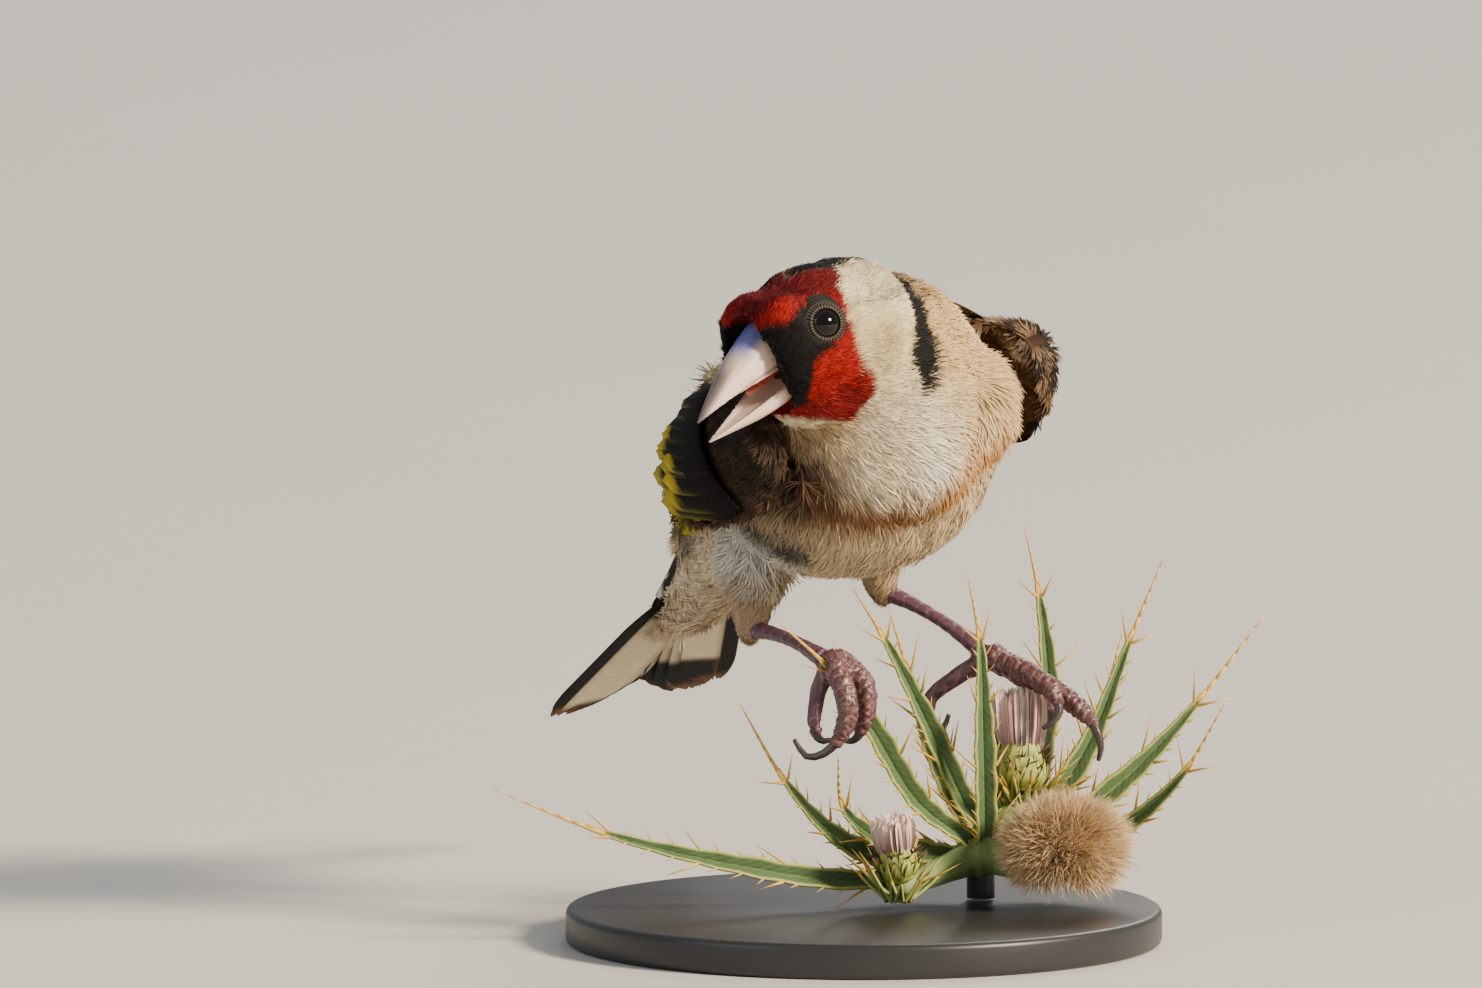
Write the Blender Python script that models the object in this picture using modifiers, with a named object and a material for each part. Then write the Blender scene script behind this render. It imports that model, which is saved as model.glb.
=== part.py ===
"""A European goldfinch at life size, leaning over the cut top of a thistle on a display stand.

Metres, +Z up. The origin is the centre of the underside of the stand's base.
A body frame has x towards the bill, y towards the bird's left and z towards its back.
"""

import math

import bmesh
import bpy
from mathutils import Matrix, Vector
from mathutils.bvhtree import BVHTree

MM = 0.001
GAP = 0.3 * MM
FAR = 80 * MM  # half the side of a cutting block
LEFT, RIGHT = 1, -1
SIDES = {"left": LEFT, "right": RIGHT}

# Stand
BASE_RADIUS = 34 * MM
BASE_THICKNESS = 4 * MM
BASE_BEVEL = 0.7 * MM
ROD_RADIUS = 1.6 * MM

# Trunk: from the centre of the breast to the root of the tail
BREAST_CENTRE = Vector((-1.2, 0.1, 58.0)) * MM
TRUNK_HEADING, TRUNK_PITCH, TRUNK_ROLL = -60.7, 30.3, 9.8
TRUNK_LENGTH = 37.5 * MM
FLESH_VOXEL = 0.8 * MM
SHOULDER = Vector((11.5, 8.8, -2.6)) * MM  # fluffed out on the left, under the raised wing
SHOULDER_RADII = Vector((6.5, 5.6, 8.0)) * MM

# Head: its frame's origin lies midway between the eyes
HEAD_ORIGIN = Vector((-9.5, -18.0, 72.9)) * MM
HEAD_HEADING, HEAD_PITCH, HEAD_ROLL = -134.0, -27.5, 3.0
EYE_RADIUS = 2.1 * MM
EYE_CENTRE = Vector((-0.65, 5.5, -0.85)) * MM
BILL_ARCH = 10
BILL_RINGS = 11

# Neck: where it starts in the head's frame and ends in the trunk's, and its two cuts
NECK_IN_HEAD = Vector((-6.0, 0.0, -7.0)) * MM
NECK_IN_TRUNK = Vector((7.0, 0.0, 3.0)) * MM
NECK_CUTS = (3.6 * MM, 8.6 * MM)

# Tail: half the fan's angle is TAIL_SPREAD
TAIL_LENGTH = 49 * MM
TAIL_FORK = 9 * MM
TAIL_BEND, TAIL_LIFT, TAIL_ROLL = 15.0, 2.6, 9.7
TAIL_SPREAD = 11.5
TAIL_ROOT_WIDTH = 3.2 * MM
TAIL_THICKNESS = 1.0 * MM
TAIL_RISE = 0.8 * MM
TAIL_CORNER = {LEFT: 11.0 * MM, RIGHT: 4.5 * MM}  # how much shorter the outermost feather is

# Wings, in the trunk's frame: a centre line from the wrist to the tip, with widths and tilts
WING_LINE = [
    Vector((8.5, 15.8, 1.0)) * MM,
    Vector((0.0, 18.0, 2.6)) * MM,
    Vector((-13.0, 14.0, 7.0)) * MM,
    Vector((-27.0, 6.2, 8.4)) * MM,
    Vector((-43.0, 2.7, 6.8)) * MM,
    Vector((-59.0, 1.8, 4.8)) * MM,
]
WING_HALF_WIDTHS = [w * MM for w in (7.0, 8.6, 8.6, 5.1, 2.5, 1.2)]
WING_TILTS = [8.0, 14.0, 40.0, 56.0, 68.0, 76.0]
WING_SWAY = 6.5 * MM
WING_BULGE = 4.0 * MM
WING_THICKNESS = 3.0 * MM
WING_HOLD = {"left": 7.2 * MM, "right": 0.0 * MM}  # how far each wrist stands off
WING_LIFT = {"left": 2.2 * MM, "right": 0.0 * MM}  # and how far it is raised
WRIST_CURL = {"left": 3.8 * MM, "right": 0.0 * MM}  # how far its upper edge turns in
WRIST_ROUNDING = 4.6 * MM

# Legs
THIGH_TOP = Vector((-14.5, 7.8, -5.0)) * MM
THIGH_SHARES = (0.0, 0.28, 0.56, 0.76)
THIGH_RADII = [5.6 * MM, 4.4 * MM, 2.8 * MM, 1.7 * MM]
THIGH_CUT = 6.0 * MM
THIGH_ROOM = 6.2 * MM
ANKLES = {
    "left": Vector((2.1, 14.1, 38.8)) * MM,
    "right": Vector((-13.0, 4.7, 35.4)) * MM,
}

COLLECTION = "goldfinch"
WORLD = Matrix.Identity(4)


# ---------------------------------------------------------------- helpers


def clear_scene():
    for obj in list(bpy.data.objects):
        bpy.data.objects.remove(obj, do_unlink=True)


def make_collection(name, hidden=False):
    made = bpy.data.collections.new(name)
    bpy.context.scene.collection.children.link(made)
    made.hide_render = hidden
    return made


def make_material(name, colour, roughness, metallic=0.0):
    made = bpy.data.materials.new(name)
    made.use_nodes = True
    shader = made.node_tree.nodes["Principled BSDF"]
    shader.inputs["Base Color"].default_value = (*colour, 1.0)
    shader.inputs["Roughness"].default_value = roughness
    shader.inputs["Metallic"].default_value = metallic
    return made


def body_frame(origin, heading, pitch, roll):
    """The matrix of a body frame: heading round +Z from +X, pitch up, roll left side up, in degrees."""
    return (
        Matrix.Translation(origin)
        @ Matrix.Rotation(math.radians(heading), 4, "Z")
        @ Matrix.Rotation(math.radians(-pitch), 4, "Y")
        @ Matrix.Rotation(math.radians(roll), 4, "X")
    )


def mesh_object(name, bm, collection, material=None, smooth=True):
    mesh = bpy.data.meshes.new(name)
    bm.to_mesh(mesh)
    bm.free()
    obj = bpy.data.objects.new(name, mesh)
    collection.objects.link(obj)
    if material:
        mesh.materials.append(material)
    if smooth:
        mesh.shade_smooth()
    return obj


def as_guide(obj):
    obj.hide_render = True
    obj.display_type = "WIRE"
    return obj


def interpolate(stations, t):
    """A smooth value at t from 0 to 1 along evenly spaced stations, by Catmull-Rom."""
    spans = len(stations) - 1
    at = min(max(t, 0.0), 1.0) * spans
    i = min(int(at), spans - 1)
    f = at - i
    p1, p2 = stations[i], stations[i + 1]
    p0 = stations[i - 1] if i else p1 * 2 - p2
    p3 = stations[i + 2] if i + 2 <= spans else p2 * 2 - p1
    return (
        p1
        + (p2 - p0) * (0.5 * f)
        + (p0 * 2 - p1 * 5 + p2 * 4 - p3) * (0.5 * f * f)
        + (p1 * 3 - p0 - p2 * 3 + p3) * (0.5 * f * f * f)
    )


def add_ball(bm, frame, centre, radii, segments=16):
    """An ellipsoid whose centre and three radii are given in a frame."""
    scale = Matrix.Diagonal((*radii, 1.0))
    bmesh.ops.create_uvsphere(
        bm,
        u_segments=segments,
        v_segments=segments // 2,
        radius=1.0,
        matrix=frame @ Matrix.Translation(centre) @ scale,
    )


def add_chain(bm, frame, points, radii, count, segments=12):
    """A row of overlapping balls along a smooth line, from a few points with a radius each."""
    for i in range(count):
        t = i / (count - 1)
        radius = interpolate(radii, t)
        size = radius if isinstance(radius, Vector) else (radius,) * 3
        add_ball(bm, frame, interpolate(points, t), size, segments)


def add_remesh(obj, voxel, smoothing, ratio):
    """Fuses an object's balls into one smooth skin, and thins its faces out."""
    remesh = obj.modifiers.new("fuse", "REMESH")
    remesh.mode = "VOXEL"
    remesh.voxel_size = voxel
    smooth = obj.modifiers.new("smooth", "SMOOTH")
    smooth.factor = 0.5
    smooth.iterations = smoothing
    thin = obj.modifiers.new("thin", "DECIMATE")
    thin.ratio = ratio
    return obj


def swell(bm, distance):
    """Moves a closed skin outwards."""
    bm.normal_update()
    for vert, normal in [(v, v.normal.copy()) for v in bm.verts]:
        vert.co += normal * distance


def add_boolean(obj, operation, other):
    made = obj.modifiers.new(f"{operation.lower()}_{other.name}"[:60], "BOOLEAN")
    made.operation = operation
    made.solver = "EXACT"
    made.object = other
    return made


def meet(obj, other):
    """Whether the surfaces of two objects cross."""
    bpy.context.view_layer.update()
    graph = bpy.context.evaluated_depsgraph_get()
    return bool(BVHTree.FromObject(obj, graph).overlap(BVHTree.FromObject(other, graph)))


def cut_where_met(obj, cutters):
    for cutter in cutters:
        if meet(obj, cutter):
            add_boolean(obj, "DIFFERENCE", cutter)


def block(name, frame, low, high, collection):
    """A box between two corners of a frame, to cut with."""
    bm = bmesh.new()
    size = Vector(high) - Vector(low)
    middle = (Vector(high) + Vector(low)) / 2
    bmesh.ops.create_cube(
        bm, size=1.0, matrix=frame @ Matrix.Translation(middle) @ Matrix.Diagonal((*size, 1.0))
    )
    return as_guide(mesh_object(name, bm, collection, smooth=False))


def aimed_frame(origin, direction, up=Vector((0, 0, 1))):
    """A frame with x along a direction."""
    x = direction.normalized()
    y = up.cross(x).normalized()
    z = x.cross(y)
    rotation = Matrix((x, y, z)).transposed().to_4x4()
    return Matrix.Translation(origin) @ rotation


def tapered_tube(name, points, radii, collection, material, sides=2):
    """A curve with round section, whose radius follows its points, closed at both ends."""
    data = bpy.data.curves.new(name, "CURVE")
    data.dimensions = "3D"
    data.bevel_depth = 1.0
    data.bevel_resolution = sides
    data.use_fill_caps = True
    data.resolution_u = 1
    spline = data.splines.new("POLY")
    spline.points.add(len(points) - 1)
    for target, point, radius in zip(spline.points, points, radii):
        target.co = (*point, 1.0)
        target.radius = radius
    data.materials.append(material)
    obj = bpy.data.objects.new(name, data)
    collection.objects.link(obj)
    return obj


TRUNK = body_frame(BREAST_CENTRE, TRUNK_HEADING, TRUNK_PITCH, TRUNK_ROLL)
HEAD = body_frame(HEAD_ORIGIN, HEAD_HEADING, HEAD_PITCH, HEAD_ROLL)
TAIL = (
    TRUNK
    @ Matrix.Translation((-TRUNK_LENGTH, 0, 0))
    @ Matrix.Rotation(math.radians(180 - TAIL_BEND), 4, "Z")
    @ Matrix.Rotation(math.radians(-TAIL_LIFT), 4, "Y")
    @ Matrix.Rotation(math.radians(TAIL_ROLL), 4, "X")
)
NECK_TOP, NECK_FOOT = HEAD @ NECK_IN_HEAD, TRUNK @ NECK_IN_TRUNK
NECK_LINE = [NECK_TOP, NECK_TOP.lerp(NECK_FOOT, 0.5), NECK_FOOT]


# ---------------------------------------------------------------- flesh


def head_balls(bm):
    """Cranium, face, throat, cheeks and brows, in the head's frame."""
    for centre, radii in (
        ((-3.0, 0.0, -3.8), (9.6, 8.7, 8.0)),  # crown
        ((-7.8, 0.0, -6.0), (8.6, 9.2, 8.6)),  # nape
        ((1.8, 0.0, -2.8), (6.4, 6.9, 6.6)),  # face
        ((3.6, 0.0, -4.0), (4.2, 4.6, 5.6)),  # round the bill
        ((-1.5, 0.0, -8.0), (7.4, 7.0, 6.0)),  # throat
    ):
        add_ball(bm, HEAD, Vector(centre) * MM, Vector(radii) * MM, 32)
    for side in SIDES.values():
        cheek = Vector((-4.5, side * 3.8, -6.4)) * MM
        add_ball(bm, HEAD, cheek, Vector((7.2, 5.8, 6.6)) * MM, 24)
        brow = Vector((2.3, side * 2.3, 0.4)) * MM
        add_ball(bm, HEAD, brow, Vector((4.3, 4.2, 4.3)) * MM, 24)


# Rows of x, y, z and three radii, in mm of the trunk's frame and of the tail's
TRUNK_STATIONS = (
    (4.0, 0.0, -0.5, 14.5, 14.4, 14.6),
    (-2.0, 0.6, 0.5, 15.2, 18.2, 16.6),
    (-9.0, 0.0, 2.2, 13.0, 15.2, 14.6),
    (-16.0, 0.0, 3.4, 11.0, 13.0, 12.0),
    (-23.0, 0.0, 2.6, 9.0, 10.6, 9.8),
    (-30.0, 0.0, 1.4, 7.0, 7.4, 6.8),
    (-37.5, 0.0, 0.3, 5.0, 5.0, 4.6),
)
UNDERTAIL_STATIONS = (
    (0.0, 0.0, 0.3, 5.0, 5.0, 4.6),
    (8.0, 0.0, -0.4, 5.0, 5.4, 2.9),
    (17.0, 0.0, -0.8, 4.0, 4.6, 1.3),
)


def add_body(bm, frame, stations, count, segments):
    """A chain of balls from rows of centre and radii."""
    centres = [Vector(row[:3]) * MM for row in stations]
    radii = [Vector(row[3:]) * MM for row in stations]
    add_chain(bm, frame, centres, radii, count, segments)


def build_flesh(guides):
    """Head, neck, trunk and thighs as one body, to be parted."""
    bm = bmesh.new()
    head_balls(bm)
    add_chain(bm, WORLD, NECK_LINE, [7.8 * MM, 10.0 * MM, 13.9 * MM], 9, 24)
    add_body(bm, TRUNK, TRUNK_STATIONS, 30, 24)
    add_ball(bm, TRUNK, SHOULDER, SHOULDER_RADII, 14)
    add_body(bm, TAIL, UNDERTAIL_STATIONS, 12, 16)
    for name in SIDES:
        add_chain(bm, WORLD, *thigh_line(name), 12, 16)
    flesh = add_remesh(mesh_object("flesh", bm, guides), FLESH_VOXEL, 6, 0.037)
    return as_guide(flesh)


def thigh_line(name):
    """The points and radii of a thigh, from inside the trunk to the ankle."""
    top = TRUNK @ Vector((THIGH_TOP.x, SIDES[name] * THIGH_TOP.y, THIGH_TOP.z))
    return [top.lerp(ANKLES[name], t) for t in THIGH_SHARES], THIGH_RADII


def settled(obj):
    """A mesh of the object as its modifiers leave it."""
    bpy.context.view_layer.update()
    graph = bpy.context.evaluated_depsgraph_get()
    return bpy.data.meshes.new_from_object(obj.evaluated_get(graph))


def mesh_copy(name, mesh, collection, material):
    made = bpy.data.objects.new(name, mesh.copy())
    made.data.name = name
    made.data.materials.clear()
    made.data.materials.append(material)
    made.data.shade_smooth()
    collection.objects.link(made)
    return made


def part_flesh(flesh, parts, guides, materials):
    """Cuts the one body into head, neck, trunk and thighs, with a thin gap at each cut."""
    mesh = settled(flesh)
    axis = aimed_frame(NECK_TOP, NECK_FOOT - NECK_TOP)
    upper, lower = NECK_CUTS
    spans = {"head": (-FAR, upper), "neck": (upper + GAP, lower), "trunk": (lower + GAP, FAR)}
    made = {}
    for name, (start, end) in spans.items():
        made[name] = mesh_copy(name, mesh, parts, materials[name])
        side = block(f"{name}_side", axis, (start, -FAR, -FAR), (end, FAR, FAR), guides)
        add_boolean(made[name], "INTERSECT", side)
    for name in SIDES:
        points, _ = thigh_line(name)
        frame = aimed_frame(points[0], points[-1] - points[0])
        reach = (points[-1] - points[0]).length + 6 * MM
        wide, narrow = THIGH_ROOM, THIGH_ROOM - GAP
        low, high = (THIGH_CUT, -wide, -wide), (reach, wide, wide)
        socket = block(f"socket_{name}", frame, low, high, guides)
        low, high = (THIGH_CUT + GAP, -narrow, -narrow), (reach, narrow, narrow)
        keep = block(f"keep_{name}", frame, low, high, guides)
        add_boolean(made["trunk"], "DIFFERENCE", socket)
        thigh = mesh_copy(f"thigh_{name}", mesh, parts, materials["thigh"])
        add_boolean(thigh, "INTERSECT", keep)
        made[f"thigh_{name}"] = thigh
    return made


# ---------------------------------------------------------------- eyes and bill


def add_shell(bm, ring_at, rings, count):
    """A closed skin over rings of count points each, with a flat cap at both ends."""
    loops = [[bm.verts.new(p) for p in ring_at(i / (rings - 1))] for i in range(rings)]
    for a, b in zip(loops, loops[1:]):
        for j in range(count):
            k = (j + 1) % count
            bm.faces.new((a[j], a[k], b[k], b[j]))
    bm.faces.new(reversed(loops[0]))
    bm.faces.new(loops[-1])
    bmesh.ops.recalc_face_normals(bm, faces=bm.faces[:])


def mandible_ring(stations, upwards):
    """One mandible's cross-section: an arch on its ridge, and a hollow on its cutting side."""

    def ring(t):
        x, ridge, edge, half, hollow = interpolate(stations, t)
        points = []
        for i in range(BILL_ARCH + 1):
            angle = math.pi * i / BILL_ARCH
            rise = abs(math.sin(angle)) ** 0.85  # fuller than a half circle
            points.append((x, half * math.cos(angle), edge + (ridge - edge) * rise))
        points.append((x, -half * 0.62, edge + hollow * upwards))
        points.append((x, half * 0.62, edge + hollow * upwards))
        return [HEAD @ (Vector(p) * MM) for p in points]

    return ring


class Station(tuple):
    """A row of numbers that adds and scales, for interpolation."""

    def __add__(self, other):
        return Station(a + b for a, b in zip(self, other))

    def __sub__(self, other):
        return Station(a - b for a, b in zip(self, other))

    def __mul__(self, factor):
        return Station(a * factor for a in self)


# Each row: x, ridge, cutting edge, half width, depth of the hollow, in mm of the head's frame
UPPER_BILL = [
    Station(row)
    for row in (
        (1.4, 2.3, -3.2, 3.3, 0.3),
        (5.2, 1.7, -3.2, 3.0, 0.6),
        (9.1, 0.6, -3.0, 2.2, 0.5),
        (13.0, -1.1, -2.9, 1.3, 0.3),
        (17.0, -3.0, -3.3, 0.16, 0.02),
    )
]
LOWER_BILL = [
    Station(row)
    for row in (
        (1.4, -8.2, -4.5, 3.2, 0.3),
        (5.2, -8.1, -5.2, 2.7, 0.6),
        (9.0, -7.7, -5.6, 2.0, 0.5),
        (12.8, -6.9, -5.8, 1.1, 0.3),
        (16.6, -6.1, -5.9, 0.16, 0.02),
    )
]


def oval_ring(start, end, half, high, count):
    """An oval section between two points of the head's frame, in mm; half and high follow t."""

    def ring(t):
        middle = Vector(start).lerp(Vector(end), t)
        turns = [2 * math.pi * i / count for i in range(count)]
        section = [Vector((0, half(t) * math.cos(a), high(t) * math.sin(a))) for a in turns]
        return [HEAD @ ((middle + point) * MM) for point in section]

    return ring


def build_bill(parts, guides, materials):
    """Both mandibles, the tongue between them, and the cutter that opens the face for them."""
    for name, stations, upwards in (("bill_upper", UPPER_BILL, 1), ("bill_lower", LOWER_BILL, -1)):
        bm = bmesh.new()
        add_shell(bm, mandible_ring(stations, upwards), BILL_RINGS, BILL_ARCH + 3)
        mesh_object(name, bm, parts, materials["bill"])
    bm = bmesh.new()
    tongue = oval_ring(
        (2.0, 0.0, -4.0),
        (8.6, 0.0, -4.5),
        half=lambda t: 1.25 * math.sqrt(1.0 - 0.86 * t**3),
        high=lambda t: 0.34,
        count=10,
    )
    add_shell(bm, tongue, 8, 10)
    mesh_object("tongue", bm, parts, materials["tongue"])
    bm = bmesh.new()
    mouth = oval_ring(
        (1.0, 0.0, -3.0), (16.0, 0.0, -3.0), half=lambda t: 3.75, high=lambda t: 6.0, count=20
    )
    add_shell(bm, mouth, 2, 20)
    return as_guide(mesh_object("mouth", bm, guides, smooth=False))


def build_eyes(head, parts, guides, materials):
    for name, side in SIDES.items():
        centre = Vector((EYE_CENTRE.x, side * EYE_CENTRE.y, EYE_CENTRE.z))
        bm = bmesh.new()
        add_ball(bm, HEAD, centre, (EYE_RADIUS,) * 3, 14)
        mesh_object(f"eye_{name}", bm, parts, materials["eye"])
        bm = bmesh.new()
        add_ball(bm, HEAD, centre, (EYE_RADIUS + GAP,) * 3, 14)
        socket = as_guide(mesh_object(f"orbit_{name}", bm, guides, smooth=False))
        add_boolean(head, "DIFFERENCE", socket)


# ---------------------------------------------------------------- wings and tail


def add_slab(bm, surface, across, along):
    """A closed plate: surface(u, v, face) gives the point of its outer (1) or inner (-1) face."""

    def sheet_of(face):
        rows = [[(i / along, 2 * j / across - 1) for j in range(across + 1)] for i in range(along + 1)]
        return [[bm.verts.new(surface(u, v, face)) for u, v in row] for row in rows]

    sheets = [sheet_of(1), sheet_of(-1)]
    for sheet in sheets:
        for i in range(along):
            for j in range(across):
                corners = (sheet[i][j], sheet[i + 1][j], sheet[i + 1][j + 1], sheet[i][j + 1])
                bm.faces.new(corners)
    outer, inner = sheets
    rim = [(0, j) for j in range(across)] + [(i, across) for i in range(along)]
    rim += [(along, j) for j in range(across, 0, -1)] + [(i, 0) for i in range(along, 0, -1)]
    for (i, j), (m, n) in zip(rim, rim[1:] + rim[:1]):
        bm.faces.new((outer[i][j], outer[m][n], inner[m][n], inner[i][j]))
    bmesh.ops.recalc_face_normals(bm, faces=bm.faces[:])


def wing_surface(name, outward=0.0):
    """A folded wing's plate in the trunk's frame, thickened outwards if need be."""
    side, hold, lift, curl = SIDES[name], WING_HOLD[name], WING_LIFT[name], WRIST_CURL[name]

    def surface(u, v, face):
        centre = interpolate(WING_LINE, u)
        half = interpolate(WING_HALF_WIDTHS, u)
        tilt = math.radians(interpolate(WING_TILTS, u))
        across = Vector((0, -math.sin(tilt), math.cos(tilt)))
        normal = Vector((0, math.cos(tilt), math.sin(tilt)))
        bulge = (1 - u) * WING_BULGE + max(0.0, 1 - u / 0.25) * math.copysign(curl, v)
        thick = max(WING_THICKNESS * (1 - u) ** 0.7, 0.7 * MM)
        thick = thick * math.sqrt(max(1 - v * v, 0)) * 0.5 + 0.35 * MM
        offset = thick + outward if face > 0 else -thick
        point = centre + across * (v * half) + normal * (offset - bulge * v * v)
        point.x -= WRIST_ROUNDING * v * v * max(0.0, 1 - u / 0.2)
        point.y += hold * (1 - u) ** 1.5
        point.z += lift * (1 - u) ** 1.5
        late = max(0.0, (u - 0.4) / 0.6)
        sway = WING_SWAY * late * late * (3 - 2 * late)
        return TRUNK @ Vector((point.x, side * point.y + sway, point.z))

    return surface


def build_wings(body, parts, guides, materials):
    for name in SIDES:
        bm = bmesh.new()
        add_slab(bm, wing_surface(name), 6, 14)
        mesh_object(f"wing_{name}", bm, parts, materials["wing"])
        bm = bmesh.new()
        add_slab(bm, wing_surface(name, 3 * MM), 6, 14)
        swell(bm, 2 * GAP)
        room = as_guide(mesh_object(f"wing_room_{name}", bm, guides, smooth=False))
        for piece in body:
            cut_where_met(piece, [room])


def tail_surface(side, outward=0.0, wider=0.0):
    """Half the tail: a fan from the root to one lobe of the fork."""

    def surface(u, v, face):
        share = (v + 1) / 2  # 0 by the middle, 1 at the outer edge
        angle = math.radians(TAIL_SPREAD) * share
        length = TAIL_LENGTH - TAIL_FORK * (1 - share) ** 1.5
        length -= TAIL_CORNER[side] * max(0.0, (share - 0.5) / 0.5) ** 2
        reach = length * u
        y = TAIL_ROOT_WIDTH * share + reach * math.sin(angle) + GAP / 2
        y += wider * v
        arch = 1.6 * MM * share * share * u
        z = TAIL_RISE + (TAIL_THICKNESS / 2 + outward) * face - arch
        return TAIL @ Vector((reach * math.cos(angle) + wider * (2 * u - 1), -side * y, z))

    return surface


def tail_slot_surface(u, v, face):
    """Both halves of the tail at once, with room round them."""
    if v:
        side = RIGHT if v < 0 else LEFT
        return tail_surface(side, GAP, GAP)(u, 2 * abs(v) - 1, face)
    rise = TAIL_RISE + (TAIL_THICKNESS / 2 + GAP) * face
    return TAIL @ Vector(((TAIL_LENGTH - TAIL_FORK) * u, 0, rise))


def build_tail(trunk, parts, guides, materials):
    for name, side in SIDES.items():
        bm = bmesh.new()
        add_slab(bm, tail_surface(side), 6, 7)
        mesh_object(f"tail_{name}", bm, parts, materials["tail"])
    bm = bmesh.new()
    add_slab(bm, tail_slot_surface, 12, 7)
    slot = as_guide(mesh_object("tail_slot", bm, guides, smooth=False))
    add_boolean(trunk, "DIFFERENCE", slot)


# ---------------------------------------------------------------- legs


# Each toe and its claw, in mm from the stand's origin
TOES = {
    "left": {
        "hind": ((13.9, 10.9, 31.2), (9.9, 12.0, 28.4), (7.8, 12.9, 26.6), (7.6, 12.7, 24.8)),
        "inner": ((15.6, 10.0, 30.9), (18.6, 7.8, 30.0), (21.2, 6.2, 28.5), (21.9, 5.4, 27.3)),
        "middle": ((15.6, 10.4, 30.9), (20.0, 8.9, 28.9), (24.0, 7.6, 26.4), (25.6, 6.6, 24.9)),
        "outer": ((15.4, 11.0, 31.0), (17.6, 13.4, 29.4), (20.0, 15.0, 27.1), (21.0, 15.2, 25.8)),
    },
    "right": {
        "hind": ((-4.0, -5.9, 32.6), (-5.2, -4.7, 29.4), (-5.7, -5.0, 27.0), (-5.9, -5.6, 25.6)),
        "inner": ((-3.7, -7.7, 33.0), (-2.2, -9.6, 29.8), (-1.9, -9.9, 27.0), (-2.8, -9.6, 24.6)),
        "middle": ((-2.6, -6.4, 32.8), (-0.2, -7.2, 30.6), (0.3, -7.8, 28.0), (-0.1, -7.6, 25.8)),
        "outer": ((-2.6, -6.0, 32.6), (-0.8, -3.8, 30.0), (-0.8, -3.0, 27.6), (-1.4, -3.2, 26.2)),
    },
}
CLAWS = {
    "left": {
        "hind": ((7.6, 12.6, 24.3), (8.0, 12.0, 23.0), (9.2, 11.4, 23.2), (9.8, 11.0, 24.8)),
        "inner": ((22.1, 5.4, 27.0), (22.3, 5.0, 25.7), (21.5, 4.6, 24.6), (20.4, 4.7, 23.9)),
        "middle": ((26.1, 6.4, 24.4), (26.8, 6.0, 22.9), (27.1, 5.9, 21.5), (26.8, 6.2, 20.0)),
        "outer": ((21.4, 15.2, 25.3), (21.8, 15.0, 24.2), (21.6, 14.5, 23.3), (20.9, 14.0, 22.8)),
    },
    "right": {
        "hind": ((-5.8, -5.9, 25.1), (-5.3, -6.3, 24.2), (-4.6, -6.7, 23.8), (-3.8, -6.9, 24.0)),
        "inner": ((-3.1, -9.6, 24.1), (-4.6, -9.4, 22.7), (-6.6, -8.9, 22.3), (-8.0, -8.4, 24.2)),
        "middle": ((-0.3, -7.5, 25.3), (-0.8, -7.2, 24.3), (-1.5, -6.8, 23.8), (-2.3, -6.5, 23.8)),
        "outer": ((-1.6, -3.1, 25.7), (-2.1, -3.5, 24.9), (-2.7, -4.0, 24.6), (-3.4, -4.5, 24.7)),
    },
}
FEET = {"left": Vector((14.7, 10.6, 31.6)) * MM, "right": Vector((-3.6, -6.6, 32.8)) * MM}
TOE_RADII = [1.3 * MM, 1.15 * MM, 1.05 * MM, 0.82 * MM]
CLAW_RADII = [0.62 * MM, 0.52 * MM, 0.4 * MM, 0.27 * MM]
TARSUS_RADII = [1.25 * MM, 0.95 * MM, 0.92 * MM, 1.3 * MM]


def tube_with_room(name, line, radii, count, sides, owner, collections, material):
    """A tapered tube along a smooth line, and room for it cut out of the piece it grows from."""
    parts, guides = collections
    points = [interpolate(line, i / count) for i in range(count + 1)]
    widths = [interpolate(radii, i / count) for i in range(count + 1)]
    tapered_tube(name, points, widths, parts, material, sides)
    run = [points[0] * 1.3 - points[1] * 0.3, *points, points[-1] * 1.3 - points[-2] * 0.3]
    wide = [r + GAP for r in (widths[0], *widths, widths[-1])]
    room = as_guide(tapered_tube(f"{name}_room", run, wide, guides, material, sides))
    cut_with_curve(owner, room, guides)


def build_feet(parts, guides, materials):
    made = {}
    for name, toes in TOES.items():
        foot = FEET[name]
        bm = bmesh.new()
        add_ball(bm, WORLD, foot, (1.5 * MM,) * 3, 12)
        for toe in toes.values():
            points = [Vector(p) * MM for p in toe]
            add_chain(bm, WORLD, points, TOE_RADII, 16, 10)
            add_ball(bm, WORLD, points[0].lerp(foot, 0.5), (1.2 * MM,) * 3, 10)
        form = add_remesh(mesh_object(f"toes_{name}", bm, guides), 0.4 * MM, 3, 0.072)
        made[name] = mesh_copy(f"foot_{name}", settled(as_guide(form)), parts, materials["scutes"])
    return made


def build_legs(parts, guides, materials):
    feet = build_feet(parts, guides, materials)
    for name, piece in feet.items():
        ankle, foot = ANKLES[name], FEET[name]
        down = (foot - ankle).normalized()
        bow = Vector((0, 0, 0.5 * MM))
        start, end = ankle + down * 0.3 * MM, foot - down * 1.75 * MM
        line = [start, start.lerp(end, 0.33) + bow, start.lerp(end, 0.67) + bow, end]
        collections = (parts, guides)
        tarsus = f"tarsus_{name}"
        tube_with_room(
            tarsus, line, TARSUS_RADII, 7, 2, piece, collections, materials["scutes"]
        )
        for toe, claw in CLAWS[name].items():
            line = [Vector(p) * MM for p in claw]
            nail = f"claw_{name}_{toe}"
            tube_with_room(nail, line, CLAW_RADII, 6, 1, piece, collections, materials["claw"])
    return feet


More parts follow.
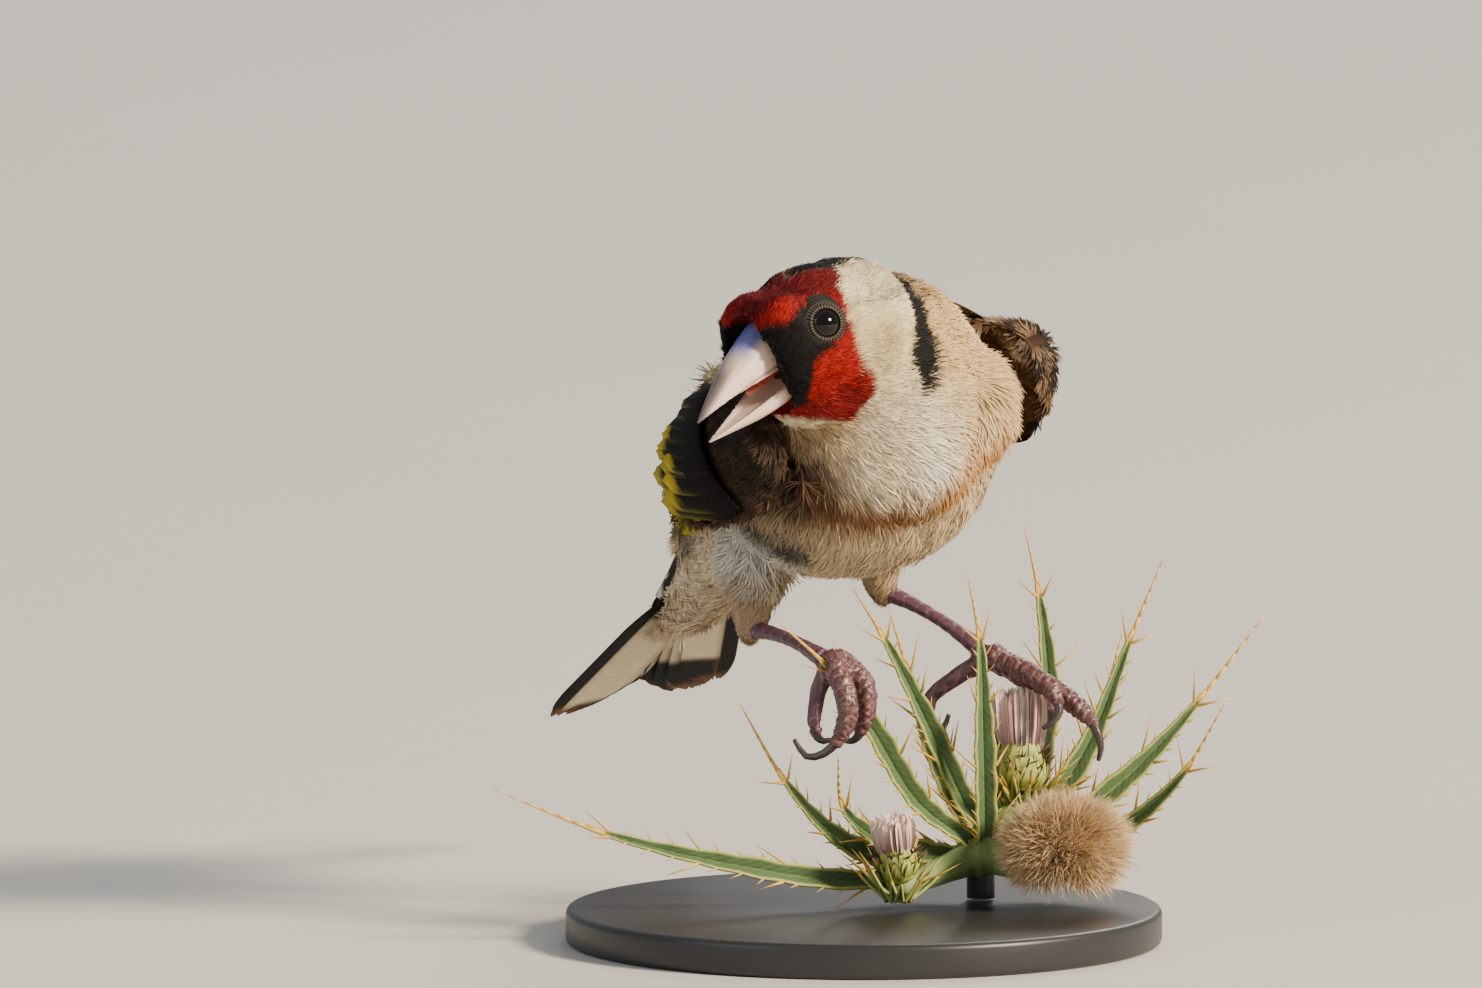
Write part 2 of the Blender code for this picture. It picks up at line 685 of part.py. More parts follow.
def cut_with_curve(obj, curve, guides):
    """Takes a curve's solid away from an object, through a mesh of it."""
    cutter = bpy.data.objects.new(f"{curve.name}_solid", settled(curve))
    guides.objects.link(cutter)
    as_guide(cutter)
    weld = cutter.modifiers.new("weld", "WELD")
    weld.merge_threshold = 0.001 * MM
    add_boolean(obj, "DIFFERENCE", cutter)


# ---------------------------------------------------------------- thistle and stand


# Each leaf from its tip to the stem, in mm from the stand's origin
LEAVES = {
    "gripped": (
        (-9.8, -11.1, 37.9),
        (-3.9, -7.4, 32.0),
        (0.9, -3.2, 24.7),
        (6.0, 1.4, 16.0),
        (12, 4.2, 11),
    ),
    "upright": (
        (-1.3, 0.2, 40.5),
        (2.4, 1.6, 34.4),
        (7.0, 4.2, 25.0),
        (11.4, 6.8, 15.2),
        (13.6, 6.8, 11.5),
    ),
    "front": (
        (11.8, 2.4, 41.8),
        (13.2, 2.8, 34.0),
        (13.6, 2.6, 24.0),
        (13.8, 3.2, 14.0),
        (13.6, 5, 9.6),
    ),
    "rear": (
        (18.6, 22.4, 45.1),
        (20.3, 21.2, 37.0),
        (21.2, 18.4, 26.0),
        (18.8, 12.0, 15.5),
        (14, 7, 11.0),
    ),
    "right_tall": (
        (34.5, 12.6, 42.9),
        (30.2, 11.9, 32.5),
        (25.6, 11.0, 21.0),
        (20.0, 8.9, 13.2),
        (14, 6, 10),
    ),
    "right_long": (
        (46.1, 17.8, 35.4),
        (38.0, 15.6, 25.2),
        (30.5, 14.0, 17.4),
        (22.0, 11.6, 11.4),
        (15, 8, 11),
    ),
    "right_low": (
        (41.2, 2.9, 27.1),
        (36.5, 6.0, 18.6),
        (29.6, 9.2, 11.8),
        (21.0, 9.0, 8.0),
        (14, 6.4, 8.0),
    ),
    "rear_left": (
        (3.0, 18.0, 36.0),
        (6.0, 16.0, 26.5),
        (9.2, 12.4, 17.4),
        (12.8, 8.4, 10.4),
    ),
    "rear_right": (
        (30, 24, 33),
        (27.0, 20.5, 23),
        (22.0, 17.0, 14.6),
        (13.6, 9.4, 8.8),
    ),
    "left_long": (
        (-42, -9.5, 18.6),
        (-29, -7.5, 13.2),
        (-15, -4.4, 9.4),
        (-2, 0.6, 6.9),
        (11, 5.6, 7.4),
    ),
    "left_low": (
        (-14.1, -1.2, 27.3),
        (-8.8, 1.0, 18.0),
        (-2.6, 4.6, 11.0),
        (5.0, 7.2, 7.8),
        (13, 6.8, 7.8),
    ),
    "left_inner": (
        (-3.0, -5.7, 22.1),
        (-2.4, -1.5, 15.6),
        (1.5, 2.4, 11.5),
        (7.0, 4.4, 9.6),
        (13, 5.4, 9),
    ),
}
LEAF_HALF_WIDTH = 1.35 * MM
LEAF_THICKNESS = 1.1 * MM
LEAF_RINGS = 12
STEM_FOOT, STEM_TOP = Vector((13.4, 5.8, 9.4)) * MM, Vector((17.9, 7.7, 14.2)) * MM
# Rows of distance from the foot and radius, in mm
BUD_CUP = ((0.4, 1.7), (2.2, 2.9), (4.6, 2.9), (6.2, 2.5))
BUD_BRUSH = ((6.6, 2.4), (8.0, 2.9), (10.6, 3.1), (12.4, 2.3))
# The buds: foot, direction and scale of each
BUDS = {
    "main": (Vector((17.9, 7.9, 15.0)) * MM, Vector((-0.2, 1.5, 6.6)), 1.0),
    "side": (Vector((4.2, -2.7, 6.6)) * MM, Vector((-0.9, -1.0, 6.6)), 0.72),
}
SEED_HEAD, SEED_RADII = Vector((23.0, -1.6, 11.0)) * MM, Vector((8.0, 7.6, 6.2)) * MM


def leaf_ring(points, swell=0.0):
    """A leaf's cross-section: a keeled blade with toothed edges that narrows to a long spine."""

    def frame(t):
        here = interpolate(points, t)
        ahead = interpolate(points, min(t + 0.02, 1)) - interpolate(points, max(t - 0.02, 0))
        return aimed_frame(here, ahead, Vector((0.25, -0.9, 0.35)))

    def ring(t):
        teeth = abs(2 * ((t * 4.5) % 1.0) - 1)
        blade = max(0.0, (t - 0.2) / 0.8)
        swelling = math.sin(math.pi * blade**0.8) ** 0.7
        half = 0.34 * MM + LEAF_HALF_WIDTH * swelling * (0.62 + 0.38 * teeth)
        if t < 0.2:
            half = 0.3 * MM + 0.12 * MM * t / 0.2
        thick = min(LEAF_THICKNESS / 2, half) + swell
        half += swell
        keel = 0.7 * MM * min(blade * 4, 1)
        section = (
            (half, 0.0),
            (half * 0.4, thick),
            (-half * 0.4, thick),
            (-half, 0.0),
            (-half * 0.4, -thick - keel * 0.3),
            (half * 0.4, -thick - keel * 0.3),
        )
        at = frame(t)
        return [at @ Vector((0.0, y, z)) for y, z in section]

    return ring


def turned(name, frame, profile, collection, material, segments=12):
    """A turned solid along a frame's x axis, from rows of distance along it and radius."""

    def ring(t):
        x, radius = interpolate([Station(row) for row in profile], t)
        turns = [2 * math.pi * i / segments for i in range(segments)]
        section = [Vector((x, radius * math.cos(a), radius * math.sin(a))) for a in turns]
        return [frame @ (point * MM) for point in section]

    bm = bmesh.new()
    add_shell(bm, ring, 2 * len(profile), segments)
    return mesh_object(name, bm, collection, material)


def stem_solid(name, guides, swell):
    """The cut stem with its side branches, fused; swell is the room it needs."""
    bm = bmesh.new()
    side_foot, seed_foot = BUDS["side"][0], SEED_HEAD + Vector((-5.0, 2.0, -2.2)) * MM
    runs = (
        ([STEM_FOOT - Vector((0, 0, 0.4 * MM)), STEM_FOOT, STEM_TOP], (2.6, 2.9, 2.3)),
        ([STEM_FOOT, STEM_FOOT.lerp(side_foot, 0.5), side_foot], (2.2, 1.7, 1.3)),
        ([STEM_FOOT, STEM_FOOT.lerp(seed_foot, 0.5), seed_foot], (2.2, 2.0, 2.0)),
    )
    for points, radii in runs:
        add_chain(bm, WORLD, points, [r * MM + swell for r in radii], 9, 14)
    return as_guide(add_remesh(mesh_object(name, bm, guides), 0.5 * MM, 2, 0.05))


def build_buds(parts, guides, materials):
    """The buds with their brushes of florets, and the room that each needs."""
    cups, rooms = [], []
    slack = GAP / MM
    for name, (foot, direction, scale) in BUDS.items():
        axis = aimed_frame(foot, direction) @ Matrix.Scale(scale, 4)
        cups.append(turned(f"perch_bud_{name}", axis, BUD_CUP, parts, materials["bracts"]))
        turned(f"perch_florets_{name}", axis, BUD_BRUSH, parts, materials["florets"])
        (low, foot_radius), (high, top_radius) = BUD_CUP[0], BUD_BRUSH[-1]
        around = [(x, radius + slack / scale) for x, radius in (*BUD_CUP, *BUD_BRUSH)]
        around[0] = (low - slack / scale, foot_radius + slack / scale)
        around[-1] = (high + slack / scale, top_radius + slack / scale)
        room = turned(f"bud_room_{name}", axis, around, guides, materials["bracts"])
        rooms.append(as_guide(room))
    return cups, rooms


def build_thistle(feet, parts, guides, materials):
    """The cut stem, its buds and seed head and its leaves, each clear of the ones before it."""
    stem_mesh = settled(stem_solid("stem_form", guides, 0.0))
    stem = mesh_copy("perch_stem", stem_mesh, parts, materials["stem"])
    stem_room = stem_solid("stem_room", guides, GAP * 1.5)
    cups, bud_rooms = build_buds(parts, guides, materials)
    rooms = [stem_room, *bud_rooms]
    bm = bmesh.new()
    add_ball(bm, WORLD, SEED_HEAD, SEED_RADII, 14)
    seed = mesh_object("perch_seedhead", bm, parts, materials["down"])
    for piece in (*cups, seed):
        cut_where_met(piece, [stem_room])
    bm = bmesh.new()
    add_ball(bm, WORLD, SEED_HEAD, SEED_RADII + Vector((GAP,) * 3), 14)
    rooms.append(as_guide(mesh_object("seed_room", bm, guides, smooth=False)))
    for name, line in LEAVES.items():
        points = [Vector(p) * MM for p in line]
        bm = bmesh.new()
        add_shell(bm, leaf_ring(points), LEAF_RINGS, 6)
        leaf = mesh_object(f"perch_leaf_{name}", bm, parts, materials["leaf"])
        cut_where_met(leaf, rooms)
        bm = bmesh.new()
        add_shell(bm, leaf_ring(points, GAP), LEAF_RINGS, 6)
        rooms.append(as_guide(mesh_object(f"leaf_room_{name}", bm, guides, smooth=False)))
    for foot in feet.values():
        cut_where_met(foot, rooms)
    return stem


def add_disc(bm, radius, low, high, segments):
    """An upright cylinder between two points."""
    bmesh.ops.create_cone(
        bm,
        cap_ends=True,
        segments=segments,
        radius1=radius,
        radius2=radius,
        depth=high.z - low.z,
        matrix=Matrix.Translation((low + high) / 2),
    )


def build_stand(parts, guides, materials):
    """The base and the rod, and the cutter that makes room for the rod's top in the stem."""
    bm = bmesh.new()
    add_disc(bm, BASE_RADIUS, Vector((0, 0, 0)), Vector((0, 0, BASE_THICKNESS)), 40)
    rims = [e for e in bm.edges if abs(e.verts[0].co.z - e.verts[1].co.z) < 0.001 * MM]
    bmesh.ops.bevel(bm, geom=rims, offset=BASE_BEVEL, segments=1, affect="EDGES")
    mesh_object("stand_base", bm, parts, materials["stand"], smooth=False)
    foot = Vector((STEM_FOOT.x, STEM_FOOT.y, BASE_THICKNESS + GAP))
    top = Vector((foot.x, foot.y, STEM_FOOT.z - 1.0 * MM))
    bm = bmesh.new()
    add_disc(bm, ROD_RADIUS, foot, top, 24)
    mesh_object("stand_rod", bm, parts, materials["stand"], smooth=False)
    bm = bmesh.new()
    slack = Vector((0, 0, GAP))
    add_disc(bm, ROD_RADIUS + GAP, foot - slack, top + slack, 24)
    return as_guide(mesh_object("rod_room", bm, guides, smooth=False))


# The colour and roughness of each
MATERIALS = {
    "head": ((0.62, 0.3, 0.2), 0.9),
    "neck": ((0.6, 0.48, 0.34), 0.9),
    "trunk": ((0.66, 0.55, 0.42), 0.9),
    "thigh": ((0.5, 0.4, 0.29), 0.9),
    "wing": ((0.2, 0.15, 0.08), 0.85),
    "tail": ((0.12, 0.1, 0.09), 0.8),
    "bill": ((0.85, 0.74, 0.66), 0.4),
    "tongue": ((0.6, 0.2, 0.18), 0.4),
    "eye": ((0.01, 0.008, 0.007), 0.08),
    "scutes": ((0.3, 0.16, 0.15), 0.55),
    "claw": ((0.09, 0.07, 0.06), 0.4),
    "stem": ((0.3, 0.42, 0.16), 0.7),
    "bracts": ((0.36, 0.44, 0.14), 0.7),
    "florets": ((0.75, 0.52, 0.5), 0.8),
    "down": ((0.62, 0.46, 0.28), 0.95),
    "leaf": ((0.2, 0.34, 0.15), 0.7),
    "stand": ((0.03, 0.03, 0.03), 0.4),
}


def main():
    clear_scene()
    parts = make_collection(COLLECTION)
    guides = make_collection("cutters", hidden=True)
    materials = {name: make_material(name, *look) for name, look in MATERIALS.items()}
    flesh = build_flesh(guides)
    body = part_flesh(flesh, parts, guides, materials)
    add_boolean(body["head"], "DIFFERENCE", build_bill(parts, guides, materials))
    build_eyes(body["head"], parts, guides, materials)
    build_wings([body["head"], body["neck"], body["trunk"]], parts, guides, materials)
    build_tail(body["trunk"], parts, guides, materials)
    feet = build_legs(parts, guides, materials)
    stem = build_thistle(feet, parts, guides, materials)
    add_boolean(stem, "DIFFERENCE", build_stand(parts, guides, materials))


if __name__ == "__main__":
    main()
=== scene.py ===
"""The looks of a European goldfinch on a thistle top: plumage, bill, eyes, legs, perch and stand.

Metres, +Z up. A body frame has x towards the bill, y towards the bird's left and z towards its back.
"""

import logging
import math
from collections.abc import Callable, Iterable, Iterator, Sequence
from dataclasses import dataclass, field
from enum import Enum, IntEnum

import bmesh
import bpy
import numpy as np
from mathutils import Matrix, Vector
from mathutils.bvhtree import BVHTree


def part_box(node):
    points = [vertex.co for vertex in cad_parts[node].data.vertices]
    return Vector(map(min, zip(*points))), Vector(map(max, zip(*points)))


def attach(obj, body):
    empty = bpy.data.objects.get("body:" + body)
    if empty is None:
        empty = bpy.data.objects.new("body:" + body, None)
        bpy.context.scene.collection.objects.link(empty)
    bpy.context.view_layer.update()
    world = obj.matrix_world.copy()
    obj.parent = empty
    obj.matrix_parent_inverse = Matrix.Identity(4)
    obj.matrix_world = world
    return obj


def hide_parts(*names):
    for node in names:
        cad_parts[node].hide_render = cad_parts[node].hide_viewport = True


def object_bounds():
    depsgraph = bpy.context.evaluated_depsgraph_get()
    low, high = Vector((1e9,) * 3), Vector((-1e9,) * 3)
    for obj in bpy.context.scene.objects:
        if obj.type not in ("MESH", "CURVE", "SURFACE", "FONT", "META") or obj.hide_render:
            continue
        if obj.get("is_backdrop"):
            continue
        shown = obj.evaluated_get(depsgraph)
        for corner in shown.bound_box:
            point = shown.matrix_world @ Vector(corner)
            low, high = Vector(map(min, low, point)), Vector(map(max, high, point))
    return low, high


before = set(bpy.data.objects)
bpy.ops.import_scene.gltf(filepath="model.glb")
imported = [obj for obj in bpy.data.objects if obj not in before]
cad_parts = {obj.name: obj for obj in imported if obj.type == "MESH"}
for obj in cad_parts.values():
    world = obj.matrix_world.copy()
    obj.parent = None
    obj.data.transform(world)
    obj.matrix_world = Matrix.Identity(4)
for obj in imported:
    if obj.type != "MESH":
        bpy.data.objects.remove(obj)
CAD_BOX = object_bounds()

MM = 0.001
SEED = 7
TINT = "tint"
VANE_MAP = "vane"
BAKE_MAP = "OFBake"
BAKE_MARGIN = 0.05  # the share of a cell of the bake map that is left free at each edge
BLADE_PATCH = 0.003  # the size of one blade on the bake map
SHAFT = 0.12  # half a feather's shaft, as a share of half its vane
SHAFT_RISE = 0.12  # how far a shaft stands out of its vane, in millimetres
GOLDEN_TURN = 0.382  # the share of a turn from one leaf to the next
BODY = "root"
SIDES = {"left": 1, "right": -1}
LOG = logging.getLogger("goldfinch")

Array = np.ndarray
Place = Callable[[Array, Array], Array]
Pair = tuple[float, float]
Triple = tuple[float, float, float]
Floats = tuple[float, ...]
Chance = np.random.Generator
BMesh = bmesh.types.BMesh
Fill = Callable[[BMesh], None]
Mesh, Piece = bpy.types.Mesh, bpy.types.Object
NodeSocket, NodeTree = bpy.types.NodeSocket, bpy.types.NodeTree


# ---------------------------------------------------------------- frames and numbers


def body_frame(origin: Sequence[float], heading: float, pitch: float, roll: float) -> Matrix:
    """The matrix of a body frame.

    Args:
        origin: its origin, in millimetres.
        heading: degrees round +Z from +X.
        pitch: degrees of the x axis above the level.
        roll: degrees that the left side is up.

    Returns:
        The matrix from the frame to the world.
    """
    return (
        Matrix.Translation(Vector(origin) * MM)
        @ Matrix.Rotation(math.radians(heading), 4, "Z")
        @ Matrix.Rotation(math.radians(-pitch), 4, "Y")
        @ Matrix.Rotation(math.radians(roll), 4, "X")
    )


HEAD = body_frame((-9.5, -18.0, 72.9), -134.0, -27.5, 3.0)
TRUNK = body_frame((-1.2, 0.1, 58.0), -60.7, 30.3, 9.8)
TAIL = TRUNK @ body_frame((-37.5, 0.0, 0.0), 165.0, 2.6, 9.7)
HEAD_MIDDLE = (-3.0, 0.0, -5.0)
BILL_ROOT = (6.5, 0.0, -2.8)
EYE_TURN = (0.25, 0.9, 0.3)
EYE_RIM = (-0.31, 6.73, -0.36)
THIGHS = {
    "left": ((-14.5, 7.8, -5.0), (2.1, 14.1, 38.8)),
    "right": ((-14.5, -7.8, -5.0), (-13.0, 4.7, 35.4)),
}


def to_frame(matrix: Matrix, points: Array) -> Array:
    """World points in a body frame, in millimetres."""
    inverse = np.array(matrix.inverted())
    return (points @ inverse[:3, :3].T + inverse[:3, 3]) / MM


def from_frame(matrix: Matrix, points: Array) -> Array:
    """World points from points of a body frame, in millimetres."""
    rows = np.array(matrix)
    return np.asarray(points) * MM @ rows[:3, :3].T + rows[:3, 3]


def turned(matrix: Matrix, vectors: Array) -> Array:
    """World directions from directions of a body frame."""
    return np.asarray(vectors, float) @ np.array(matrix)[:3, :3].T


def unit(vectors: Array) -> Array:
    """The same directions, one long."""
    return vectors / np.maximum(np.linalg.norm(vectors, axis=-1, keepdims=True), 1e-12)


def laid_flat(ways: Array, normals: Array) -> Array:
    """The ways, one long, pressed onto a surface that faces along the normals."""
    return unit(ways - (ways * normals).sum(axis=1, keepdims=True) * normals)


def off_axis(offsets: Array, axis: Array) -> Array:
    """How far each offset ends from the line through the origin along an axis."""
    return np.linalg.norm(offsets - (offsets @ axis)[:, None] * axis, axis=1)


def ease(values: Array, low: float | Array, high: float | Array) -> Array:
    """A smooth rise from 0 at low to 1 at high."""
    t = np.clip((values - low) / (np.asarray(high) - low), 0.0, 1.0)
    return t * t * (3 - 2 * t)


def fall(values: Array, low: float | Array, high: float | Array) -> Array:
    """A smooth fall from 1 at low to 0 at high."""
    return 1 - ease(values, low, high)


def peak(*terms: tuple[Array, float | Array, float | Array]) -> Array:
    """A smooth hill, 1 where the values of every term are at its middle.

    Args:
        terms: values, their middle and how wide the hill is over them.

    Returns:
        The hill's height at each value.
    """
    return np.exp(-sum(((values - middle) / width) ** 2 for values, middle, width in terms))


@dataclass(frozen=True)
class Spot:
    """A soft round place on the trunk, by its middle and its reach in millimetres."""

    middle: Triple
    reach: Triple

    def share(self, local: Array) -> Array:
        """1 at the middle and 0 far from it, at points of the trunk's frame."""
        offset = (local - np.array(self.middle)) / np.array(self.reach)
        return np.exp(-(offset**2).sum(axis=1))


LEFT_SHOULDER = Spot((12.5, 12.0, -2.5), (5.5, 5.5, 7.5))
VENT_TUFT = Spot((-11.0, -7.0, -11.0), (3.2, 3.0, 2.0))
DARK_FLANK = (Spot((-4.1, -12.4, -10.4), (3.4, 3.0, 2.8)), Spot((-4.2, -15.4, -6.4), (3.0, 2.2, 2.2)))
# The brown breast patch on the bird's right side, painted darker there than on the left as shade.
SHADED_BREAST_PATCH = Spot((5.0, -13.0, -6.0), (5.5, 3.4, 5.0))


def ripple(points: Array, size: float, phase: float = 0.0) -> Array:
    """A smooth unevenness from -1 to 1 that changes over about the given size."""
    x, y, z = (points / size * 2 * math.pi).T
    first = np.sin(x + 1.7 * np.sin(0.9 * y + phase))
    second = np.sin(1.1 * y + 1.3 * np.sin(1.2 * z + 2 * phase))
    return (first + second + np.sin(0.9 * z + 1.9 * np.sin(0.8 * x + 3 * phase))) / 3


def along_line(stations: Array, t: Array) -> Array:
    """Values at t from 0 to 1 along evenly spaced stations, by Catmull-Rom."""
    rows = np.asarray(stations, float)
    if rows.ndim == 1:
        return along_line(rows[:, None], t)[..., 0]
    rows = np.vstack([2 * rows[0] - rows[1], rows, 2 * rows[-1] - rows[-2]])
    at = np.asarray(t, float) * (len(rows) - 3)
    i = np.clip(at.astype(int), 0, len(rows) - 4)
    f = (at - i)[..., None]
    p0, p1, p2, p3 = (rows[i + k] for k in range(4))
    bend = (2 * p0 - 5 * p1 + 4 * p2 - p3) * f * f + (3 * p1 - p0 - 3 * p2 + p3) * f**3
    return p1 + 0.5 * ((p2 - p0) * f + bend)


# ---------------------------------------------------------------- colours


class Tint(Enum):
    """The colours of the bird and its perch, as linear light, among them copies of a colour in painted light
    or painted shade.
    """

    CRIMSON = (0.32, 0.009, 0.006)
    # The face's crimson in painted shade, for the top of the forehead and the chin.
    SHADED_CRIMSON = (0.08, 0.006, 0.008)
    BLACK = (0.008, 0.007, 0.007)
    CHEEK = (0.7, 0.6, 0.39)
    STRAW = (0.44, 0.34, 0.13)
    SILK = (0.68, 0.56, 0.39)
    BELLY = (0.6, 0.46, 0.28)
    FLANK = (0.36, 0.24, 0.13)
    TAWNY = (0.62, 0.43, 0.2)
    # The breast band's brown in painted shade, and on the next line the same brown in painted light.
    BAND_IN_SHADE = (0.2, 0.085, 0.028)
    BAND_IN_LIGHT = (0.5, 0.23, 0.06)
    BARK = (0.15, 0.075, 0.035)
    MANTLE = (0.16, 0.09, 0.045)
    SLATE = (0.05, 0.055, 0.05)
    WHITE = (0.8, 0.76, 0.66)
    FROST = (0.5, 0.54, 0.56)
    DUSK = (0.3, 0.24, 0.17)
    SAND = (0.6, 0.47, 0.3)
    YELLOW = (0.58, 0.4, 0.02)
    MOSS = (0.17, 0.17, 0.025)
    SOOT = (0.016, 0.013, 0.011)
    WORN = (0.18, 0.09, 0.045)
    LID = (0.2, 0.17, 0.13)
    HORN = (0.8, 0.6, 0.48)
    LILAC = (0.14, 0.15, 0.4)
    DARK_HORN = (0.07, 0.055, 0.06)
    MOUTH = (0.26, 0.05, 0.03)
    SCUTE = (0.1, 0.035, 0.04)
    SCUTE_EDGE = (0.4, 0.27, 0.24)
    CLAW = (0.045, 0.034, 0.03)
    LEAF = (0.055, 0.11, 0.04)
    LEAF_EDGE = (0.46, 0.47, 0.13)
    LEAF_VEIN = (0.25, 0.35, 0.14)
    SPINE = (0.8, 0.48, 0.09)
    STEM = (0.16, 0.24, 0.07)
    BRACT = (0.3, 0.36, 0.06)
    BRACT_EDGE = (0.58, 0.56, 0.2)
    PURPLE = (0.16, 0.05, 0.05)
    FLORET = (0.78, 0.57, 0.54)
    FLORET_TIP = (0.9, 0.74, 0.66)
    DOWN = (0.56, 0.36, 0.17)
    DOWN_TIP = (0.86, 0.68, 0.42)


def painted(count: int, tint: Tint) -> Array:
    """One colour for each of count points."""
    return np.tile(np.array(tint.value), (count, 1))


def blend(colours: Array, tint: Tint | Array, share: float | Array) -> Array:
    """The colours, with a share of another over them."""
    over = np.array(tint.value) if isinstance(tint, Tint) else tint
    share = np.clip(np.asarray(share), 0.0, 1.0)[..., None]
    return colours * (1 - share) + over * share


def layered(colours: Array, *layers: tuple[Tint | Array, float | Array]) -> Array:
    """The colours, with a share of each layer's colour over them in turn."""
    for tint, share in layers:
        colours = blend(colours, tint, share)
    return colours


@dataclass(frozen=True)
class Markings:
    """The pattern of the plumage, by place on the head and on the trunk, in millimetres."""

    edge: float = 0.4
    collar_along: Floats = (-18.5, -16.4, -14.4, -12.9, -11.4, -10.0, -8.6, -7.8, -7.2)
    collar_top: Floats = (-2.25, -2.25, -2.85, -4.45, -6.85, -8.45, -9.75, -11.25, -12.85)
    collar_foot: Floats = (-5.95, -6.65, -8.25, -9.95, -11.75, -12.95, -13.95, -14.25, -14.25)
    cap_along: Floats = (-17.0, -15.0, -12.0, -8.7, -7.4, 0.0)
    cap_half: Floats = (5.0, 3.3, 2.5, 2.2, 3.3, 9.0)
    mask_heights: Floats = (-13.9, -12.1, -11.1, -8.9, -7.2, -4.2, 0.1, 0.8, 1.7, 2.15, 2.5)
    mask_back: Floats = (0.2, -1.6, -2.2, -2.0, -1.3, -1.7, -3.7, -4.5, -4.5, -5.1, -7.6)
    lore_along: Floats = (0.4, 2.0, 3.5, 4.6, 5.4)
    lore_top: Floats = (3.0, 2.7, 2.2, 1.9, 2.4)
    lore_foot_along: Floats = (-1.0, 2.1, 3.4, 4.1, 4.4)
    lore_foot: Floats = (-3.4, -3.2, -3.7, -5.3, -8.5)
    orbit: float = 2.2
    ring: float = 0.62

    def below(self, values: Array, limit: Array | float) -> Array:
        """1 where the values are below the limit, with a soft edge."""
        return fall(values, limit - self.edge, limit + self.edge)

    def above(self, values: Array, limit: Array | float) -> Array:
        """1 where the values are above the limit, with a soft edge."""
        return 1 - self.below(values, limit)

    def body(self, points: Array) -> Array:
        """The colours of neck, trunk and thighs at points of the trunk's frame."""
        x, y, z = points.T
        around = np.degrees(np.arctan2(y + 3.5 * ease(x, -4.0, 6.0), -(z - 1.5)))
        side = np.abs(around)
        under = 25.0 * ease(-x, 18.0, 26.0)
        vent = ease(-x, 6.0, 16.0) * fall(side, 50.0 + under, 85.0 + under)
        low = 12.0 * ease(-x, 6.0, 12.0)
        back = ease(side, 95.0 + low, 122.0 + low)
        # Painted shade: the sides of the rump under the wings are darkened towards slate.
        rump_shade = ease(-x, 22.0, 27.0) * ease(z, -2.0, 1.0) * ease(np.abs(y), 5.0, 7.5)
        neck = ease(x, 7.0, 13.0) * ease(side, 30.0, 60.0) * fall(side, 120.0, 150.0)
        frost = ease(-x, 4.0, 8.0) * fall(-x, 16.0, 24.0) * ease(side, 30.0, 50.0) * fall(side, 70.0, 95.0)
        band_at = 7.8 + 0.1 * np.clip(around, -30.0, 40.0)
        band = peak((x, band_at, np.where(x < band_at, 1.7, 2.7))) * fall(side, 58.0, 84.0)
        # Painted light and shade: the breast band is one brown, orange where lit on the bird's left and dark
        # where shaded on its right.
        band_lit_and_shaded = blend(painted(len(x), Tint.BAND_IN_SHADE), Tint.BAND_IN_LIGHT, ease(around, 5.0, 30.0))
        brown = SHADED_BREAST_PATCH.share(points)
        return layered(
            painted(len(x), Tint.BELLY),
            (Tint.FLANK, 0.8 * ease(side, 38.0, 85.0)),
            (Tint.SILK, 0.8 * vent),
            (Tint.MANTLE, back),
            (Tint.SILK, back * ease(-x, 16.0, 23.0)),
            (Tint.SILK, ease(x, band_at + 0.5, band_at + 3.5) * fall(side, 46.0, 72.0)),
            (Tint.WHITE, 0.9 * peak((around, 11.0, 10.0), (x, 14.0, 3.6))),
            (Tint.TAWNY, 0.8 * neck),
            (band_lit_and_shaded, band),
            (Tint.FROST, 0.7 * frost),
            (Tint.SLATE, 1.2 * sum(spot.share(points) for spot in DARK_FLANK)),
            (Tint.SLATE, 0.75 * rump_shade),
            # Painted shade: the breast patch on the bird's right is darkened to a near black brown.
            (Tint.BARK, 1.1 * brown),
            (Tint.SOOT, 0.6 * brown),
        )

    def head(self, points: Array, colours: Array) -> Array:
        """The colours with the head's pattern over them, at points of the head's frame."""
        x, y, z = points.T
        y = np.abs(y)
        top = np.interp(x, self.collar_along, self.collar_top)
        foot = np.interp(x, self.collar_along, self.collar_foot)
        fore = self.above(x, self.collar_along[0])
        cheek = self.above(z, top) * fore
        straw = peak((x, -5.4, 3.2), (z, -6.2, 3.8))
        ear = peak((x, -5.9, 1.1), (z, -6.3, 0.8))
        dusty = ease(-x, 8.5, 12.5) * ease(z, -4.5, -2.5)
        line = peak((z, 0.5 + 0.35 * (x + 2.0), 0.36)) * ease(-x, 3.4, 4.6)
        collar = self.below(z, top) * self.above(z, foot) * fore * self.below(x, self.collar_along[-1])
        cap = self.below(y, np.interp(x, self.cap_along, self.cap_half)) * self.above(z, foot) * fore
        cap *= self.below(x, -2.9 - 0.9 * y - 0.15 * y * y)
        mask = self.above(x, np.interp(z, self.mask_heights, self.mask_back)) * (1 - cap)
        mask *= self.above(z, -13.9 + 0.8 * np.clip(x - 0.2, 0.0, None))
